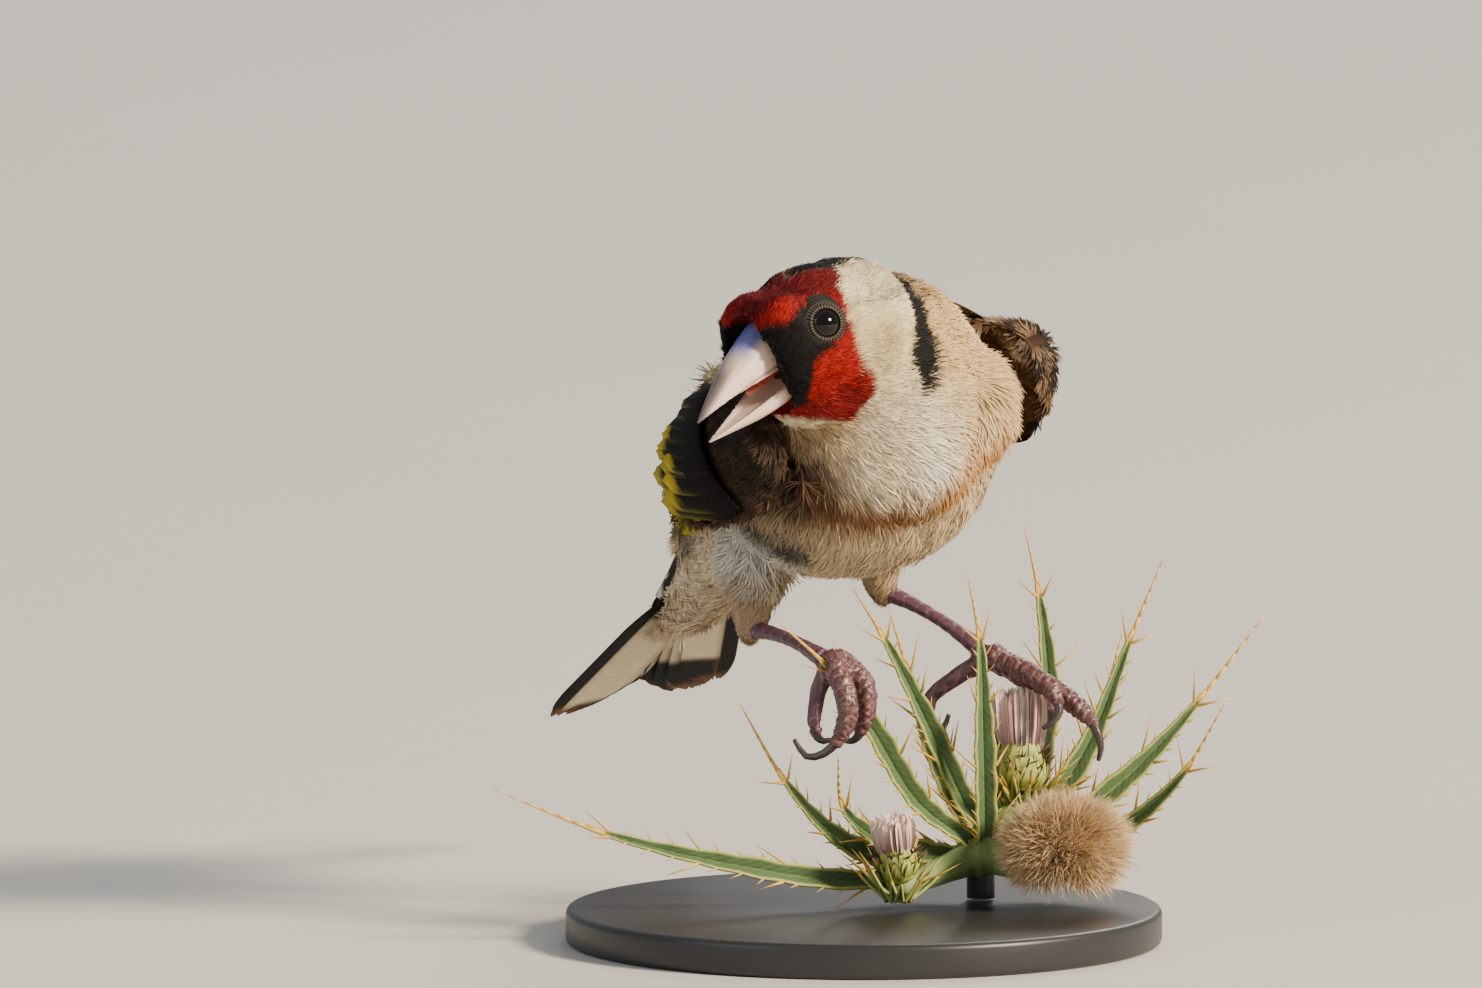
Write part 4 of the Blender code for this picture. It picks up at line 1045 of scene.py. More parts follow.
@dataclass
class Flesh:
    """The one skin of head, neck, trunk and thighs, under the coat.

    Attributes:
        ankles: where the balls that end the thighs lie, as a share of the thigh, and their radii.
        balls: what fills the mouth's root and the tail's slot: a frame, a middle and radii.
        lid_profile: an eyelid's section from its outer edge, by radius and height in millimetres.
    """

    nodes: tuple[str, ...] = ("head", "neck", "trunk", "thigh_left", "thigh_right")
    swell: float = 0.25 * MM
    voxel: float = 0.45 * MM
    ankles: tuple[Pair, ...] = ((0.76, 2.7), (0.84, 2.5), (0.92, 2.25), (1.0, 1.9))
    balls: tuple[tuple[Matrix, Triple, Triple], ...] = (
        (HEAD, (2.2, 0.0, -0.5), (3.5, 3.6, 3.0)),
        (HEAD, (2.0, 0.0, -6.5), (3.3, 3.3, 2.2)),
        (HEAD, (0.0, 0.0, -3.6), (2.6, 3.7, 5.2)),
        (TAIL, (0.0, 0.0, 0.3), (5.0, 5.0, 4.6)),
        (TAIL, (6.0, 0.0, 0.0), (6.0, 5.0, 3.2)),
        (TAIL, (12.0, 0.0, -0.4), (5.5, 4.6, 2.0)),
    )
    lid_profile: tuple[Pair, ...] = (
        *((3.4, 0.0), (2.95, 0.55), (2.55, 0.98), (2.2, 1.3)),
        *((1.95, 1.46), (1.74, 1.5), (1.62, 1.42), (1.52, 1.3)),
    )

    def fill(self, bm: BMesh) -> None:
        """Closes the sockets, the mouth's root and the tail's slot, and rounds off the thighs."""
        for name in SIDES:
            add_ball(bm, Matrix.Identity(4), eye_place(name)[0] / MM, (1.95, 1.95, 1.95))
        for matrix, centre, radii in self.balls:
            add_ball(bm, matrix, centre, radii)
        for top, ankle in THIGHS.values():
            start, end = from_frame(TRUNK, [top])[0] / MM, np.array(ankle)
            for share, radius in self.ankles:
                add_ball(bm, Matrix.Identity(4), start + (end - start) * share, (radius,) * 3)

    def build(self) -> Surface:
        """Makes the skin and the lids.

        Returns:
            The skin, to grow the coat on.
        """
        mesh = fused(self.nodes, self.swell, self.voxel, 3, self.fill)
        points, normals = vertices_of(mesh), normals_of(mesh)
        move_vertices(mesh, points - normals * (coat_depth(points) + self.swell)[:, None])
        smooth_mesh(mesh, 2)
        points, normals = vertices_of(mesh), normals_of(mesh)
        paint(mesh, MARKINGS.colours(points + normals * coat_depth(points)[:, None]) * 0.8)
        surface = Surface(mesh)
        stand_for(put_in_scene("skin", mesh, SKIN), "body_plumage", *self.nodes)
        for name in SIDES:
            self.build_lids(name)
        return surface

    def build_lids(self, name: str) -> None:
        """The ring of small scales round one eye."""
        centre, axis = eye_place(name)
        across = unit(np.cross(axis, turned(HEAD, [(0, 0, 1)])[0]))
        up = np.cross(across, axis)
        profile = np.array(self.lid_profile)

        def beads(angle: Array) -> tuple[Array, Array]:
            """The waves of the inner and of the outer row of beads, from -1 to 1."""
            return np.cos(34 * angle + 0.9 * np.sin(5 * angle)), np.cos(40 * angle + 1.2 * np.sin(4 * angle))

        def place(s: Array, q: Array) -> Array:
            """Turns the profile round the eye, with two rows of beads."""
            radius, height = along_line(profile, s).T
            angle = q * math.pi
            inner, outer = beads(angle)
            ring = np.cos(angle)[:, None] * across + np.sin(angle)[:, None] * up
            height = height + 0.07 * peak((s, 0.66, 0.09)) * inner + 0.06 * peak((s, 0.42, 0.1)) * outer
            height += 0.04 * np.sin(s * 26)
            return centre + (ring * radius[:, None] + axis * height[:, None]) * MM

        def tint(s: Array, q: Array) -> Array:
            """Pale grey beads on near black, darkest by the eye."""
            angle = q * math.pi
            inner, outer = beads(angle)
            rows = 0.3 * peak((s, 0.66, 0.1)) * (1 + inner) + 0.15 * peak((s, 0.42, 0.1)) * (1 + outer)
            feathers = 0.06 * (1 + np.sin(s * 60 + 0.8 * np.sin(7 * angle))) * (s < 0.4)
            return blend(painted(len(s), Tint.BLACK), painted(len(s), Tint.LID) * 1.3, rows + feathers)

        sheets = Sheets(1)
        sheets.add(26, 204, place, tint, closed=True)
        stand_for(sheets.build(f"eyelids_{name}", LIDS), "head_plumage")


class Part(IntEnum):
    """The stretches of the coat."""

    FACE = 0
    HEAD_LEFT = 1
    HEAD_RIGHT = 2
    NECK = 3
    BREAST = 4
    BELLY = 5
    BACK = 6
    RUMP = 7
    THIGHS = 8


@dataclass(frozen=True)
class Patch:
    """A stretch of the coat that is one piece.

    Attributes:
        part: which stretch it is.
        density: feathers to the square millimetre.
        blades: barb locks to a feather.
        length: how long they are, in millimetres.
        width: how wide a lock is, in millimetres.
        spread: the angle over which a feather's locks fan out, in degrees.
        tone_and_shade: how much its tone varies from place to place; it is darkest where its feathers lie
            lowest, which paints shade between clumps.
        pale: how much lighter its tips are.
        lift: how far its feathers stand off, against the rest.
    """

    part: Part
    density: float
    blades: int
    length: float
    width: float
    spread: float
    tone_and_shade: float = 0.16
    pale: float = 1.15
    lift: float = 1.0

    @property
    def on_head(self) -> bool:
        """Whether it lies on the head."""
        return self.part <= Part.HEAD_RIGHT


class Coat:
    """The small feathers, as overlapping fans of barb locks that follow the lie.

    Attributes:
        patches: its stretches, each a piece of its own.
        eye_gap: how far from an eye's axis it begins, in millimetres.
        wing_gap: how far it keeps from the wings, in millimetres.
        trunk_reach: the lowest x on the bake map, and how many millimetres the map covers.
    """

    patches: tuple[Patch, ...] = (
        Patch(Part.FACE, 28.0, 3, 1.2, 0.12, 26.0),
        Patch(Part.HEAD_LEFT, 18.0, 4, 2.1, 0.13, 24.0, tone_and_shade=0.34),
        Patch(Part.HEAD_RIGHT, 18.0, 4, 2.1, 0.13, 24.0, tone_and_shade=0.34),
        Patch(Part.NECK, 9.0, 5, 3.4, 0.15, 22.0),
        Patch(Part.BREAST, 7.0, 6, 4.4, 0.17, 20.0),
        Patch(Part.BELLY, 5.2, 6, 4.8, 0.18, 24.0),
        Patch(Part.BACK, 4.2, 6, 3.6, 0.21, 24.0, pale=1.7),
        Patch(Part.RUMP, 3.5, 6, 3.4, 0.22, 20.0, lift=0.55),
        Patch(Part.THIGHS, 14.0, 4, 1.7, 0.13, 24.0),
    )
    eye_gap: float = 2.5
    wing_gap: float = 0.9
    trunk_reach: Pair = (-62.0, 92.0)

    def __init__(self, skin: Surface, wings: Sequence[Surface]) -> None:
        """Takes the skin to grow on and the wings to stay clear of."""
        self.skin = skin
        self.wings = wings
        self.rng = np.random.default_rng(SEED)

    def part_of(self, points: Array) -> Array:
        """Which part of the coat each world point belongs to."""
        head, trunk = to_frame(HEAD, points), to_frame(TRUNK, points)
        which = np.where(trunk[:, 0] > 0.0, Part.BREAST, Part.BELLY)
        which = np.where(trunk[:, 2] > 3.0, Part.BACK, which)
        which = np.where(trunk[:, 0] < -19.0, Part.RUMP, which)
        away = np.linalg.norm(head - np.array(HEAD_MIDDLE), axis=1)
        which = np.where(away < 16.5, Part.NECK, which)
        which = np.where(away < 12.2, np.where(head[:, 1] > 0, Part.HEAD_LEFT, Part.HEAD_RIGHT), which)
        which = np.where(face_share(points) > 0.45, Part.FACE, which)
        return np.where(thigh_share(points)[0] > 0.5, Part.THIGHS, which)

    def bare(self, points: Array) -> Array:
        """Whether a world point grows nothing: by the eyes, in the bill's root and under the wings."""
        found = np.zeros(len(points), bool)
        found |= eye_reach(points + lie_of_head(points) * 0.35 * MM) < self.eye_gap
        x, y, z = to_frame(HEAD, points).T
        mouth = (np.abs(y) / 3.2) ** 2 + ((z + 3.1) / 5.0) ** 2 < 1
        found |= mouth & (x > 0.0)
        for wing in self.wings:
            found |= wing.clearance(points) < self.wing_gap
        return found

    def spots(self, points: Array, on_head: bool) -> Array:
        """Each point's place on the bake map: round and along the head or the trunk."""
        if on_head:
            local = to_frame(HEAD, points) - np.array(HEAD_MIDDLE)
            turn = np.arctan2(local[:, 1], local[:, 2])
            down = np.arccos(np.clip(local[:, 0] / np.linalg.norm(local, axis=1), -1, 1)) / math.pi
        else:
            local = to_frame(TRUNK, points)
            turn = np.arctan2(local[:, 1], -local[:, 2])
            down = (local[:, 0] - self.trunk_reach[0]) / self.trunk_reach[1]
        round_it = 0.01 + 0.98 * (turn / (2 * math.pi) + 0.5)
        return np.stack([round_it, np.clip(0.01 + 0.98 * down, 0.01, 0.99)], axis=1)

    def build(self) -> None:
        """Grows each patch."""
        densest = max(patch.density for patch in self.patches)
        roots, normals = self.skin.scatter(densest, self.rng)
        which = self.part_of(roots)
        chance = self.rng.random(len(roots))
        for patch in self.patches:
            chosen = (which == patch.part) & (chance < patch.density / densest)
            points, facing = roots[chosen], normals[chosen]
            free = ~self.bare(points)
            self.grow(patch, points[free], facing[free])

    def lengths(self, patch: Patch, roots: Array) -> Array:
        """How long the feather at each world point is, in metres."""
        length = patch.length * MM * self.rng.uniform(0.8, 1.2, len(roots))
        if patch.part is Part.FACE:
            length *= 0.7 + 0.75 * (1 - face_share(roots))
        if patch.on_head:
            length *= 0.5 + 0.5 * ease(eye_reach(roots), 2.6, 4.4)
        local = to_frame(TRUNK, roots)
        length *= 1 + 0.3 * fluff_share(roots) * (1 - thigh_share(roots)[0]) + 0.8 * VENT_TUFT.share(local)
        if patch.part is Part.RUMP:
            length *= 1 - 0.55 * ease(np.abs(local[:, 1]), 4.5, 7.0) * ease(local[:, 2], -2.0, 1.0)
        return length

    def grow(self, patch: Patch, roots: Array, normals: Array) -> None:
        """Makes one patch's feathers from their roots."""
        rng, count = self.rng, len(roots)
        headings = lie(roots, normals)
        depth = coat_depth(roots)
        length = self.lengths(patch, roots)
        clump, fine = ripple(roots, 3.4 * MM, 1.0), ripple(roots, 1.6 * MM, 2.5)
        tints = MARKINGS.colours(roots + headings * (length * 0.5)[:, None] + normals * depth[:, None])
        tints = tints * rng.uniform(0.8, 1.16, (count, 1)) * rng.uniform(0.97, 1.03, (count, 3))
        # Painted shade between clumps: the ripple that lowers the feathers also darkens them.
        tints = tints * (1 + patch.tone_and_shade * fine)[:, None]
        loose = 0.12 if patch.on_head else 0.34
        headings = unit(headings + np.cross(normals, headings) * (loose * clump)[:, None])
        lifts = np.clip(1.7 * depth / length, 0.12, 0.75) * (1 + loose * fine + 0.3 * fluff_share(roots))
        lifts *= patch.lift * (1 - 0.55 * LEFT_SHOULDER.share(to_frame(TRUNK, roots)))
        shape = (patch.width, patch.blades, patch.spread)
        looks = (tints, tints * patch.pale, self.spots(roots, patch.on_head))
        locks = fans(rng, roots, normals, headings, length, *shape, lifts, *looks)
        piece = threads(f"coat_{patch.part.name.lower()}", locks, DOWNY)
        stand_for(piece, "head_plumage" if patch.on_head else "body_plumage")


# ---------------------------------------------------------------- eyes, bill and legs


class Eyes:
    """Both eyeballs."""

    pupil: float = 1.15
    iris: Triple = (0.012, 0.006, 0.004)

    def build(self) -> None:
        """Makes a fine ball in the place of each node."""
        for name in SIDES:
            centre, axis = eye_place(name)
            low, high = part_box(f"eye_{name}")
            radius = (high - low).length / math.sqrt(12)
            bm = bmesh.new()
            place = Matrix.Translation(Vector(centre))
            bmesh.ops.create_uvsphere(bm, u_segments=64, v_segments=40, radius=radius, matrix=place)
            ball = from_bmesh(f"eyeball_{name}", bm, EYE)
            away = off_axis(vertices_of(ball.data) - centre, axis) / MM
            black = painted(len(away), Tint.BLACK) * 0.2
            paint(ball.data, blend(black, np.array(self.iris), ease(away, self.pupil, self.pupil + 0.15)))
            stand_for(ball, "eye", f"eye_{name}")


class Bill:
    """Both mandibles and the tongue."""

    voxel: float = 0.12 * MM
    swell: float = 0.02 * MM
    ridge_along: Floats = (1.4, 5.2, 9.1, 13.0, 17.0)
    ridge: Floats = (2.3, 1.7, 0.6, -1.1, -3.0)
    edge_along: Floats = (1.4, 9.1, 17.0)
    upper_edge: Floats = (-2.9, -2.7, -3.2)
    half_width: Floats = (2.6, 1.5, 0.0)

    def colours(self, points: Array, upper: bool) -> Array:
        """Ivory, with a lilac root, a dark ridge, a dark tip and a red inside."""
        x, y, z = to_frame(HEAD, points).T
        if upper:
            depth = np.interp(x, self.ridge_along, self.ridge) - z
            edge = np.interp(x, self.edge_along, self.upper_edge)
            inner, rim = fall(z, edge - 0.2, edge + 0.1), peak((z, edge + 0.1, 0.22))
            outside = (
                (Tint.LILAC, 1.2 * fall(depth, 0.1, 1.9) * fall(x, 6.0, 11.0)),
                (Tint.DARK_HORN, 0.85 * fall(depth, 0.1, 0.9) * ease(x, 8.0, 12.0)),
                (Tint.DARK_HORN, 0.75 * ease(x, 14.8, 16.8)),
            )
        else:
            inner, rim = ease(z, -5.4, -5.1), peak((z, -5.5, 0.25))
            outside = (
                (Tint.DARK_HORN, 0.45 * ease(x, 14.9, 16.6)),
                (Tint.DUSK, 0.4 * fall(x, 3.0, 6.0)),
            )
        half = np.interp(x, self.edge_along, self.half_width)
        inside = inner * fall(np.abs(y), half - 0.2, half + 0.1)
        return layered(
            painted(len(x), Tint.HORN),
            *outside,
            (Tint.MOUTH, inside * (1 - 0.75 * ease(x, 5.0, 10.0))),
            (Tint.BARK, 0.7 * rim * fall(x, 9.0, 13.0) * ease(np.abs(y), half - 0.6, half)),
        )

    def build(self) -> None:
        """Makes each from its node."""
        for name in ("bill_upper", "bill_lower"):
            mesh = fused([name], self.swell, self.voxel, 2)
            paint(mesh, self.colours(vertices_of(mesh), name == "bill_upper"))
            stand_for(put_in_scene(f"{name}_horn", mesh, BILL), "bill", name)
        mesh = fused(["tongue"], self.swell, self.voxel, 2)
        paint_plain(mesh, Tint.MOUTH, 1.6)
        stand_for(put_in_scene("tongue_flesh", mesh, MOIST), "tongue", "tongue")


class Legs:
    """Tarsi, toes and claws, with their scutes."""

    scute: float = 0.95
    relief: float = 0.14 * MM
    toes: tuple[str, ...] = ("hind", "inner", "middle", "outer")
    feet: dict[str, Triple] = {"left": (14.7, 10.6, 31.6), "right": (-3.6, -6.6, 32.8)}

    def build(self) -> None:
        """Makes each leg and its claws."""
        for name in SIDES:
            self.build_leg(name)
            for_claws = [f"claw_{name}_{toe}" for toe in self.toes]
            mesh = fused(for_claws, 0.03 * MM, 0.11 * MM, 2)
            paint_plain(mesh, Tint.CLAW)
            stand_for(put_in_scene(f"claws_{name}", mesh, NAIL), "claws", *for_claws)

    def build_leg(self, name: str) -> None:
        """One tarsus and foot in one skin, ringed with scutes."""
        nodes = (f"tarsus_{name}", f"foot_{name}")
        claws = [vertices_of(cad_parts[f"claw_{name}_{toe}"].data) for toe in self.toes]
        foot_tree = Surface(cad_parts[nodes[1]].data).tree

        def pads(bm: BMesh) -> None:
            """Rounds the toes over the roots of their claws."""
            for points in claws:
                gaps = np.array([foot_tree.find_nearest(Vector(p))[3] for p in points])
                root = points[gaps < gaps.min() + 0.6 * MM].mean(axis=0)
                add_ball(bm, Matrix.Identity(4), root / MM, (0.72, 0.72, 0.72))

        mesh = fused(nodes, 0.17 * MM, 0.17 * MM, 3, pads)
        points, normals = vertices_of(mesh), normals_of(mesh)
        ankle, foot = np.array(THIGHS[name][1]) * MM, np.array(self.feet[name]) * MM
        way = foot - ankle
        t = (points - ankle) @ way / (way @ way)
        on_toes = ease(t, 0.93, 1.0)
        from_foot = np.linalg.norm(points - foot, axis=1) / MM
        along = np.where(on_toes > 0.5, from_foot, t * np.linalg.norm(way) / MM * 0.6)
        wave = np.abs(np.sin(math.pi * (along / self.scute + 0.25 * ripple(points, 3.0 * MM, 1.0))))
        cells = np.abs(ripple(points, 1.9 * MM, 2.0)) * 2.6
        wave = np.where(on_toes > 0.3, np.minimum(wave, cells), wave)
        warts = on_toes * (0.5 * ripple(points, 1.3 * MM, 3.0) + 0.5 * ripple(points, 0.8 * MM, 5.0))
        swell = ((np.sqrt(wave) - 0.75) * (0.45 + 0.55 * on_toes) + warts) * self.relief
        sunk = (0.34 * (1 - on_toes) - 0.1) * MM
        move_vertices(mesh, points + normals * (swell - sunk)[:, None])
        worn = (0.35 + 0.35 * on_toes) * (0.6 + 0.4 * ripple(points, 2.0 * MM)) * fall(wave, 0.0, 0.35)
        scutes = painted(len(points), Tint.SCUTE)
        colours = layered(scutes, (Tint.SCUTE_EDGE, worn), (Tint.LILAC, 0.07 * (1 - on_toes)))
        paint(mesh, colours * (1 + 0.25 * ripple(points, 1.3 * MM, 4.0))[:, None])
        stand_for(put_in_scene(f"leg_{name}", mesh, LEG), "scutes", *nodes)


# ---------------------------------------------------------------- wings and tail


def on_shaft(q: Array) -> Array:
    """Which points lie on a feather's shaft, by their place across it."""
    return np.abs(q) < SHAFT


def outline(s: Array) -> Array:
    """A vane's half width from root to tip, at most 1."""
    rise = 0.25 + 0.75 * ease(s, 0.0, 0.22)
    return rise * np.sqrt(np.clip(1 - np.clip((s - 0.8) / 0.2, 0, 1) ** 2.2, 0.02, 1))


def flight_tint(yellow_end: float) -> Place:
    """The colours of a primary or secondary: yellow root, black, white tip."""

    def tint(s: Array, q: Array) -> Array:
        """Colours over one vane."""
        return layered(
            painted(len(s), Tint.BLACK),
            (Tint.YELLOW, fall(s, yellow_end - 0.03, yellow_end + 0.02)),
            (Tint.WHITE, ease(s, 0.93, 0.97) * fall(np.abs(q), 0.6, 0.95)),
            (Tint.DARK_HORN, 0.6 * on_shaft(q)),
        )

    return tint


def tertial_tint(s: Array, q: Array) -> Array:
    """Black, with a broad buff-white tip."""
    black = painted(len(s), Tint.BLACK)
    return layered(black, (Tint.CHEEK, ease(s, 0.84, 0.92)), (Tint.WORN, 0.4 * ease(np.abs(q), 0.6, 1.0)))


def greater_tint(dull: float) -> Place:
    """Black, with a yellow end, which is darker where dull is near 1."""

    def tint(s: Array, q: Array) -> Array:
        """The colours of one greater covert."""
        start = 0.62 + 0.16 * dull
        yellow = blend(painted(len(s), Tint.YELLOW), Tint.MOSS, dull)
        return layered(
            painted(len(s), Tint.BLACK),
            (yellow, ease(s, start + 0.1 * np.abs(q), start + 0.12)),
            (Tint.MOSS, 0.7 * ease(np.abs(q), 0.55, 1.0) * ease(s, 0.3, 0.6)),
        )

    return tint


@dataclass(frozen=True)
class FeatherRow:
    """A row of long feathers on a wing, from its lowest to its highest.

    Attributes:
        count: how many there are.
        roots, tips: the u and v of the first feather's root or tip, and of the last one's.
        lifts: the height of root and tip over the core, for the first feather and for the last.
        width: a feather's full width, in millimetres.
        along: a feather's faces from root to tip.
        tint: its colours.
        stepped: how much sooner the upper feathers end.
    """

    count: int
    roots: tuple[Pair, Pair]
    tips: tuple[Pair, Pair]
    lifts: tuple[Pair, Pair]
    width: float
    along: int
    tint: Place
    stepped: float = 0.0

    def places(self) -> Iterator[tuple[Array, Array, Array]]:
        """Each feather's root, tip and lifts."""
        for share in np.linspace(0.0, 1.0, self.count):
            root, tip, lift = (
                np.array(first) + (np.array(last) - np.array(first)) * share
                for first, last in (self.roots, self.tips, self.lifts)
            )
            tip[0] -= self.stepped * max(0.0, share - 0.3) ** 0.8
            yield root, tip, lift


PRIMARIES = FeatherRow(
    count=9,
    roots=((0.26, -0.8), (0.26, -0.05)),
    tips=((0.96, -0.7), (0.99, 0.2)),
    lifts=((0.1, 0.1), (0.66, 0.58)),
    width=5.6,
    along=26,
    tint=flight_tint(0.33),
    stepped=0.3,
)
SECONDARIES = FeatherRow(
    count=6,
    roots=((0.24, -0.1), (0.24, 0.5)),
    tips=((0.69, 0.05), (0.64, 0.65)),
    lifts=((0.5, 0.5), (0.9, 0.8)),
    width=6.0,
    along=22,
    tint=flight_tint(0.5),
)
TERTIALS = FeatherRow(
    count=3,
    roots=((0.2, 0.62), (0.2, 0.82)),
    tips=((0.61, 0.75), (0.5, 0.83)),
    lifts=((0.9, 0.85), (1.14, 1.09)),
    width=6.4,
    along=18,
    tint=tertial_tint,
)


@dataclass
class Wing:
    """A folded wing: its core, its long feathers and its coverts.

    Attributes:
        name, side: which wing, and the side it is on (1 on the bird's left).
        hold, lift, curl: how far its wrist stands off, is raised and is rounded, in millimetres.
        ragged: how unevenly its coverts lie.
        shoulder: how far forward its shoulder feathers begin, in millimetres.
        coverts: how many greater coverts it has.
        mottled, flecked: how strong the brown of its front edge is, and the pale tips on it.
        line, half_widths, tilts: its middle line, its half widths and how far its plane leans, in
            degrees, from the wrist to the tip.
        sway: how far the tip swings to the bird's left, in millimetres.
        bulge, rounding: how vaulted it is, and how far its corners at the wrist are drawn back.
    """

    name: str
    side: int
    hold: float
    lift: float
    curl: float
    ragged: float
    shoulder: float
    coverts: int
    mottled: float
    flecked: float
    line: tuple[Triple, ...] = (
        (8.5, 15.8, 1.0),
        (0.0, 18.0, 2.6),
        (-13.0, 14.0, 7.0),
        (-27.0, 6.2, 8.4),
        (-43.0, 2.7, 6.8),
        (-59.0, 1.8, 4.8),
    )
    half_widths: Floats = (7.0, 8.6, 8.6, 5.1, 2.5, 1.2)
    tilts: Floats = (8.0, 14.0, 40.0, 56.0, 68.0, 76.0)
    sway: float = 6.5
    bulge: float = 4.0
    thickness: float = 3.0
    rounding: float = 4.6
    length: float = 70.0

    def point(self, u: Array, v: Array, height: Array | float) -> Array:
        """World points on the wing.

        Args:
            u: from the wrist (0) to the tip (1).
            v: from the lower edge (-1) to the upper (1).
            height: height over the core's surface, in millimetres.

        Returns:
            The points, in metres.
        """
        centre = along_line(np.array(self.line), u)
        half = along_line(np.array(self.half_widths), u)
        tilt = np.radians(along_line(np.array(self.tilts), u))
        zero = np.zeros_like(tilt)
        across = np.stack([zero, -np.sin(tilt), np.cos(tilt)], axis=1)
        normal = np.stack([zero, np.cos(tilt), np.sin(tilt)], axis=1)
        rest = np.clip(1 - u, 0, 1)
        thick = np.maximum(self.thickness * rest**0.7, 0.7)
        thick = thick * np.sqrt(np.clip(1 - v * v, 0, 1)) * 0.5 - 0.35
        bulge = rest * self.bulge + np.clip(1 - u / 0.25, 0, 1) * self.curl * np.sign(v)
        offset = thick + height - bulge * v * v
        spot = centre + across * (v * half)[:, None] + normal * offset[:, None]
        spot[:, 0] -= self.rounding * v * v * np.clip(1 - u / 0.2, 0, 1)
        spot[:, 1] += self.hold * rest**1.5
        spot[:, 2] += self.lift * rest**1.5
        spot[:, 1] = self.side * spot[:, 1] + self.sway * ease(u, 0.4, 1.0)
        return from_frame(TRUNK, spot)

    def build_core(self) -> Surface:
        """The wing's flesh, thinner than its node, black on its outer side and dark brown on its inner side,
        partly as painted shade.
        """
        node = f"wing_{self.name}"
        mesh = fused([node], 0.0, 0.5 * MM, 2)
        points, normals = vertices_of(mesh), normals_of(mesh)
        move_vertices(mesh, points - normals * 0.45 * MM)
        outer = ease(normals @ self.outward(), -0.25, 0.15)
        # Soot black outside; the dark brown inside is partly the wing's own colour and partly painted shade.
        paint(mesh, blend(painted(len(points), Tint.BARK) * 0.6, Tint.SOOT, outer))
        surface = Surface(mesh)
        stand_for(put_in_scene(f"wing_core_{self.name}", mesh, SKIN), "wing_plumage", node)
        return surface

    def outward(self) -> Array:
        """The way that the wing's outer side faces, at its wrist."""
        return turned(TRUNK, [(0.0, float(self.side), 0.35)])[0]

    def feather(
        self,
        sheets: Sheets,
        root: Sequence[float],
        tip: Sequence[float],
        lift: Sequence[float],
        width: float,
        along: int,
        tint: Place,
    ) -> None:
        """Adds one feather that lies on the wing.

        Args:
            sheets: what it is added to.
            root: its root's u and v.
            tip: its tip's u and v.
            lift: its height over the core at root and tip, in millimetres.
            width: its full width in millimetres.
            along: its faces from root to tip.
            tint: its colours.
        """

        def place(s: Array, q: Array) -> Array:
            """Bends the feather over the wing."""
            u = root[0] + (tip[0] - root[0]) * s
            middle = root[1] + (tip[1] - root[1]) * s
            half = width / 2 * outline(s)
            v = middle + q * half / along_line(np.array(self.half_widths), np.clip(u, 0, 1))
            height = lift[0] + (lift[1] - lift[0]) * s - 0.072 * width * q * q + SHAFT_RISE * on_shaft(q)
            back = 0.16 * width * q * q / self.length
            return self.point(u - back * ease(s, 0.6, 1.0), v, height)

        sheets.add(along, 6, place, tint)

    def build(self) -> None:
        """Lays the feathers, from the lowest layer up."""
        rng = np.random.default_rng(SEED + self.side)
        sheets = Sheets(14)
        for row in (PRIMARIES, SECONDARIES, TERTIALS):
            for root, tip, lift in row.places():
                self.feather(sheets, root, tip, lift, row.width, row.along, row.tint)
        for share in np.linspace(0.0, 1.0, self.coverts):
            root = (0.19, -0.84 + 1.64 * share)
            tip = (0.385 + 0.03 * share + rng.normal(0, 0.012 + 0.016 * self.ragged), -0.8 + 1.6 * share)
            lift = (1.1, 1.3 + self.ragged * rng.uniform(0, 1))
            tint = greater_tint(self.ragged * rng.uniform(0.25, 1))
            self.feather(sheets, root, tip, lift, 1.4 + 28 / self.coverts, 12, tint)
        stand_for(sheets.build(f"wing_feathers_{self.name}", VANED, 0.09 * MM), "wing_plumage")

    def build_coverts(self, core: Surface) -> None:
        """The small feathers: black coverts, the yellow fringe, the mottled edge and the dark brown inner
        side, partly painted shade.
        """
        rng = np.random.default_rng(SEED + 5 + self.side)
        roots, normals = core.scatter(5.4, rng)
        x, facing = to_frame(TRUNK, roots)[:, 0], normals @ self.outward()
        keep = (x > -13.5) & ((facing > -0.3) | (x > -9.0))
        roots, normals, facing = roots[keep], normals[keep], facing[keep]
        count = len(roots)
        x, _, z = to_frame(TRUNK, roots).T
        speck = ease(ripple(roots, 1.5 * MM, 3.0), -0.15, 0.15)
        plain = 1 - speck
        inner = fall(facing, -0.6, -0.25)
        edge = (1 - inner) * fall(facing, 0.2, 0.6)
        fore = ease(x, 0.0, 4.0) * (1 - inner) * (1 - self.ragged)
        high = fore * ease(z, 5.0, 7.5)
        pit = 1.3 * peak((x, 5.9, 1.2), (z, 3.4, 1.1)) * fall(facing, -0.2, 0.3)
        bar = ease(-x, 7.5, 10.5) * (1 - inner)
        streak = ease(ripple(roots, 2.6 * MM, 6.0), 0.0, 0.3) * self.ragged
        black, bark = painted(count, Tint.BLACK), painted(count, Tint.BARK)
        mottled = blend(bark * 0.8, Tint.BLACK, speck)
